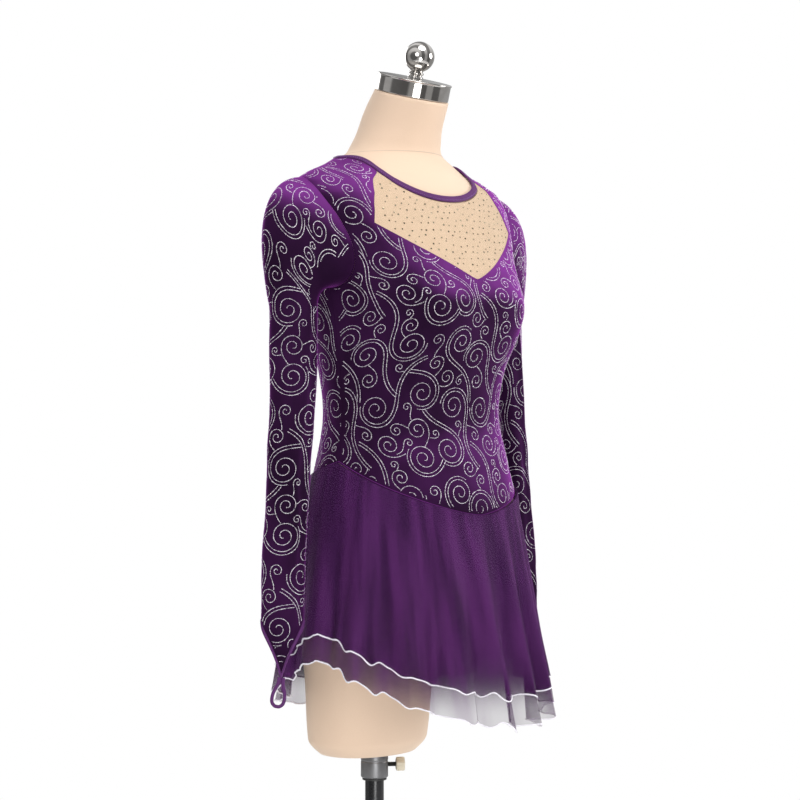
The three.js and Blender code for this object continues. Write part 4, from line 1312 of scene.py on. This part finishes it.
def turned_pieces():
    """The pole, the base, the collar, the bush, and the neck's cap with its ball."""
    pole = [(0, 14.3), (11.2, 14.3), (12, 15.1), (12, 864), (11, 865), (0, 865)]
    base = [(0, 0), (177.5, 0), (180, 2), (180, 9), (178, 12.6), (174.5, 14), (60, 16.2),
            (27, 17), (24.5, 19), (18, 33), (16.4, 34), (12.4, 34), (12.4, 14), (0, 14)]
    collar = [(13.7, 570), (16.5, 570), (17.5, 571), (17.5, 590), (17.1, 590.6), (17.1, 592),
              (17.5, 592.6), (17.5, 599.4), (13.7, 599.4), (13.7, 570)]
    bush = [(12.3, 566.8), (15.6, 566.8), (15.6, 569.6), (13.3, 569.7), (13.3, 599.4),
            (12.3, 599.4), (12.3, 566.8)]
    middle = float(FORM("front", NECK["top"]) + FORM("back", NECK["top"])) / 2
    rise = (middle - float(FORM("widest", NECK["top"]))) * math.tan(NECK["tilt"])
    place = Matrix.Translation((0, middle, NECK["top"] + rise))
    seat = place @ Matrix.Rotation(NECK["tilt"], 4, "X")
    cap = [(0, 0.3), (45.5, 0.3), (46.5, 1.3), (46.5, 19.6), (47.5, 20.8), (47.5, 21.6),
           (46.6, 22.3), (24, 23), (0, 23.3)]
    stem = [(0, 23.6), (9.6, 23.6), (9.6, 25.4), (8, 26.2), (8, 27.6), (9.6, 28.4),
            (9.6, 30.4), (7.5, 31.4)]
    centre, radius = 50.1, 19.0
    start = math.asin(7.5 / radius)
    ball = [(radius * math.sin(t), centre - radius * math.cos(t))
            for t in np.linspace(start, math.pi, 40)[1:-1]]
    rows = (
        ("black_pole", rounded(pole, 0.6), BLACK_METAL, None, "pole", "stand", "black_metal"),
        ("round_base", rounded(base, 1.4), BLACK_METAL, None, "base", "stand", "black_metal"),
        ("grey_collar", rounded(collar, 0.4), GREY_METAL, None, "stand_collar", "form",
         "grey_metal"),
        ("pole_bush", rounded(bush, 0.3), NYLON, None, "collar_bush", "bush", "nylon"),
        ("chrome_cap", rounded(cap, 0.7), CHROME, seat, "neck_cap", "form", "chrome"),
        ("chrome_ball", rounded(stem, 0.5) + ball + [(0, centre + radius)], CHROME, seat, "finial",
         "form", "chrome"),
    )
    for name, profile, material, place, node, body, slot in rows:
        finish_piece(lathe(name, profile, material, place), (node,), body)


def clamp_knob():
    """A lobed thumb knob on a dark screw."""
    facing = Vector((math.cos(-40 * DEGREE), math.sin(-40 * DEGREE), 0))
    turn = Vector((0, 0, 1)).rotation_difference(facing).to_matrix().to_4x4()
    place = Matrix.Translation((0, 0, 586)) @ turn
    screw = [(0, 13.6), (2.6, 13.6), (3, 14)]
    for thread_top in np.arange(14.6, 27.4, 1.2):
        screw += [(3.0, thread_top), (2.6, thread_top + 0.6)]
    screw += [(3, 28), (0, 28)]
    shaft = lathe("clamp_screw", screw, DARK_STEEL, place, segments=48)
    around = np.arange(120) / 120 * 2 * math.pi
    lobes = 1 + 0.08 * np.cos(5 * around)
    profile = [(6.9, 27.6), (7.9, 27.9), (8.4, 28.8), (8.5, 30), (8.5, 36.6), (8.2, 37.9),
               (7.4, 38.7), (5, 38.9), (4.4, 38.4), (0.4, 38.3)]
    matrix = np.array(place)
    rings = []
    for radius, z in profile:
        wave = lobes if radius > 6 else 1.0
        ring = np.stack([radius * wave * np.cos(around), radius * wave * np.sin(around),
                         np.full(len(around), z)], -1)
        rings.append(ring @ matrix[:3, :3].T + matrix[:3, 3])
    head = soft_edges(ring_solid("thumb_knob", rings, CREAM, ends=True), 50 * DEGREE)
    finish_piece(head, ("clamp_knob",), "knob")
    finish_piece(shaft, (), "knob")


def finish_piece(piece, nodes, body):
    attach(piece, body)
    if nodes:
        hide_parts(*nodes)
    return piece


# Everything on the form
def dress():
    """The cloth pieces, each put in place of the node it stands for."""
    stitch = spread_tree("stitch_tree", STITCH, SEAM_THREAD)
    flecks = spread_tree("fleck_tree", FLECK, GLITTER)
    stones = spread_tree("stone_tree", GEM, STONE)
    hem_knots = spread_tree("hem_stitch_tree", STITCH, HEM_THREAD)

    front = finish_piece(bodice("velvet_front", front_edge, 1), ("bodice_front",), "form")
    back = bodice("velvet_back", lambda z: 0.0, -1)
    finish_piece(back, ("bodice_back",), "form")
    front_glitter = glitter_on("glitter_front", bodice_chart(1), (0, 0), flecks)
    back_glitter = glitter_on("glitter_back", bodice_chart(-1), (37, 60), flecks)

    mesh = finish_piece(yoke(), ("mesh_insert",), "form")
    gems = yoke_stones(stones)
    collar = finish_piece(neck_binding(), ("neck_binding",), "form")
    angle = np.linspace(0, 2 * math.pi, 720, endpoint=False)
    row = down_surface(angle, neckline_height(angle), BINDING["width"] / 2 - 2.2)
    line = off_form(angle, row, BINDING["clear"] + BINDING["thick"] + 0.15)
    points, ahead = along(line, 3.0)
    out = unit(np.cross(ahead, np.array([0, 0, 1.0])))
    neck_stitches = spread("neck_stitches", stitch, points, out, ahead, (1.1, 0.3, 0.28), vary=0.1)
    extras = [front_glitter, back_glitter, gems, neck_stitches]
    slots = ["velvet", "velvet", "mesh", "binding"]

    for side, shift in (("right", (11, 20)), ("left", (48, 95))):
        arm = finish_piece(sleeve(side), (f"sleeve_{side}",), "form")
        arm_glitter = glitter_on(f"glitter_sleeve_{side}", sleeve_chart(side), shift, flecks)
        cuff = finish_piece(cuff_binding(side), (f"cuff_binding_{side}",), "form")
        loop = finish_piece(finger_loop(side), (f"finger_loop_{side}",), "form")
        extras.append(arm_glitter)
        slots.append("velvet")

    turn = np.linspace(0, 2 * math.pi, 900, endpoint=False)
    path = off_form(turn, waist_height(turn, 0.0), CLOTH["clear"] + CLOTH["thick"] - 0.3)
    out = unit(path - off_form(turn, waist_height(turn, 0.0), 0.0))
    waist_seam = tube("waist_seam", path, 1.0, VELVET, sides=8, flatten=0.6, normals=out)
    extras.append(waist_seam)
    slots.append("velvet")
    for name, node, hem, distance, area, seat in (
        ("chiffon_upper", "skirt_upper", HEM_UPPER, SKIRT["upper"], 0.206, (1.24, 0.26)),
        ("chiffon_lower", "skirt_lower", HEM_LOWER, SKIRT["lower"], 0.239, (1.28, 0.30)),
    ):
        layer = finish_piece(skirt_layer(name, hem, distance), (node,), "form")
        line = hem_line(hem, distance)
        rolled = tube(f"{name}_rolled_hem", line, 0.75, HEM_THREAD, sides=8)
        points, ahead = along(line, 1.9)
        middle = np.array([0, HEM["middle"], 0])
        out = unit((points - middle) * np.array([1, 1, 0.0]))
        tilted = unit(np.cross(ahead, out) + 0.45 * ahead)
        knots = spread(f"{name}_hem_stitches", hem_knots, points, out, tilted, (1.25, 0.42, 0.95),
                       vary=0.15, tilt=0.12)
        extras += [rolled, knots]
        slots += ["chiffon", "chiffon"]
    for piece, slot in zip(extras, slots):
        finish_piece(piece, (), "form")


finish_piece(form_body(), ("form_body",), "form")
finish_piece(neck_seam(), (), "form")
dress()
turned_pieces()
clamp_knob()


# Floor, lights and camera
def floor():
    paint = Paint("pale_floor", specular_ior_level=0.2)
    tone = paint.noise(paint.object_place(), 3, 4)
    paint.set(base_color=paint.blend(tone, (0.80, 0.80, 0.80), (0.84, 0.84, 0.84)),
              roughness=tone * 0.1 + 0.7)
    disc = lathe("floor", [(0, -6), (2300, -6), (2300, -0.5), (0, -0.5)], paint.material)


def soft_light(name, place, target, size, power, colour=(1, 1, 1)):
    lamp = bpy.data.lights.new(name, "AREA")
    lamp.shape = "DISK"
    lamp.size = size
    lamp.energy = power
    lamp.color = colour
    light = bpy.data.objects.new(name, lamp)
    light.location = place
    light.rotation_euler = (Vector(target) - Vector(place)).to_track_quat("-Z", "Y").to_euler()
    bpy.context.scene.collection.objects.link(light)


def surroundings(horizon, above):
    """A white room: full white behind the object, softer where it lights it."""
    world = bpy.data.worlds.new("white_room")
    world.use_nodes = True
    nodes = Nodes(world.node_tree)
    nodes.tree.nodes.clear()
    way = nodes.add("ShaderNodeTexCoord").outputs["Generated"]
    split = nodes.add("ShaderNodeSeparateXYZ", {}, {0: way}).outputs
    height = Value(nodes, split["Z"])
    across = Value(nodes, split["X"])
    windows = (across * 8 + 0.6).sin().between(-0.3, 0.4) * 0.9 + 0.45
    light = (height.between(0.0, 0.85) * (above - horizon) + horizon) * windows
    seen = Value(nodes, nodes.add("ShaderNodeLightPath").outputs["Is Camera Ray"])
    level = light + seen * (1 - light)
    sky = nodes.add("ShaderNodeBackground", {}, {"Color": (1, 1, 1, 1), "Strength": level})
    nodes.add("ShaderNodeOutputWorld", {}, {"Surface": sky.outputs[0]})
    bpy.context.scene.world = world


# The photograph's view: the way it looks, and where the camera stands from the pole
VIEW_TURN = 46 * DEGREE
VIEW = {"distance": 2.8, "aside": 0.0327, "height": 1.053, "focal_px": 2184, "frame_px": 800}


def photograph_camera():
    lens = bpy.data.cameras.new("camera")
    lens.lens = lens.sensor_width * VIEW["focal_px"] / VIEW["frame_px"]
    camera = bpy.data.objects.new("camera", lens)
    ahead = Vector((math.sin(VIEW_TURN), math.cos(VIEW_TURN), 0))
    aside = Vector((math.cos(VIEW_TURN), -math.sin(VIEW_TURN), 0))
    camera.location = aside * VIEW["aside"] - ahead * VIEW["distance"]
    camera.location.z = VIEW["height"]
    camera.rotation_euler = (math.pi / 2, 0, -VIEW_TURN)
    bpy.context.scene.collection.objects.link(camera)
    bpy.context.scene.camera = camera


floor()
surroundings(0.34, 0.8)
bpy.context.scene.view_settings.view_transform = "Standard"
CHEST = (0, -0.06, 1.1)
soft_light("overhead", (-0.2, -0.9, 2.9), CHEST, 1.3, 19)
soft_light("key", (-2.3, -1.2, 1.9), CHEST, 1.2, 16)
soft_light("side", (2.1, -1.7, 1.7), CHEST, 1.2, 35)
soft_light("back", (0.8, 2.2, 1.9), CHEST, 1.4, 20)
soft_light("low", (-1.3, -1.9, 0.45), (0, 0, 0.66), 0.9, 18)
photograph_camera()

bpy.context.view_layer.update()
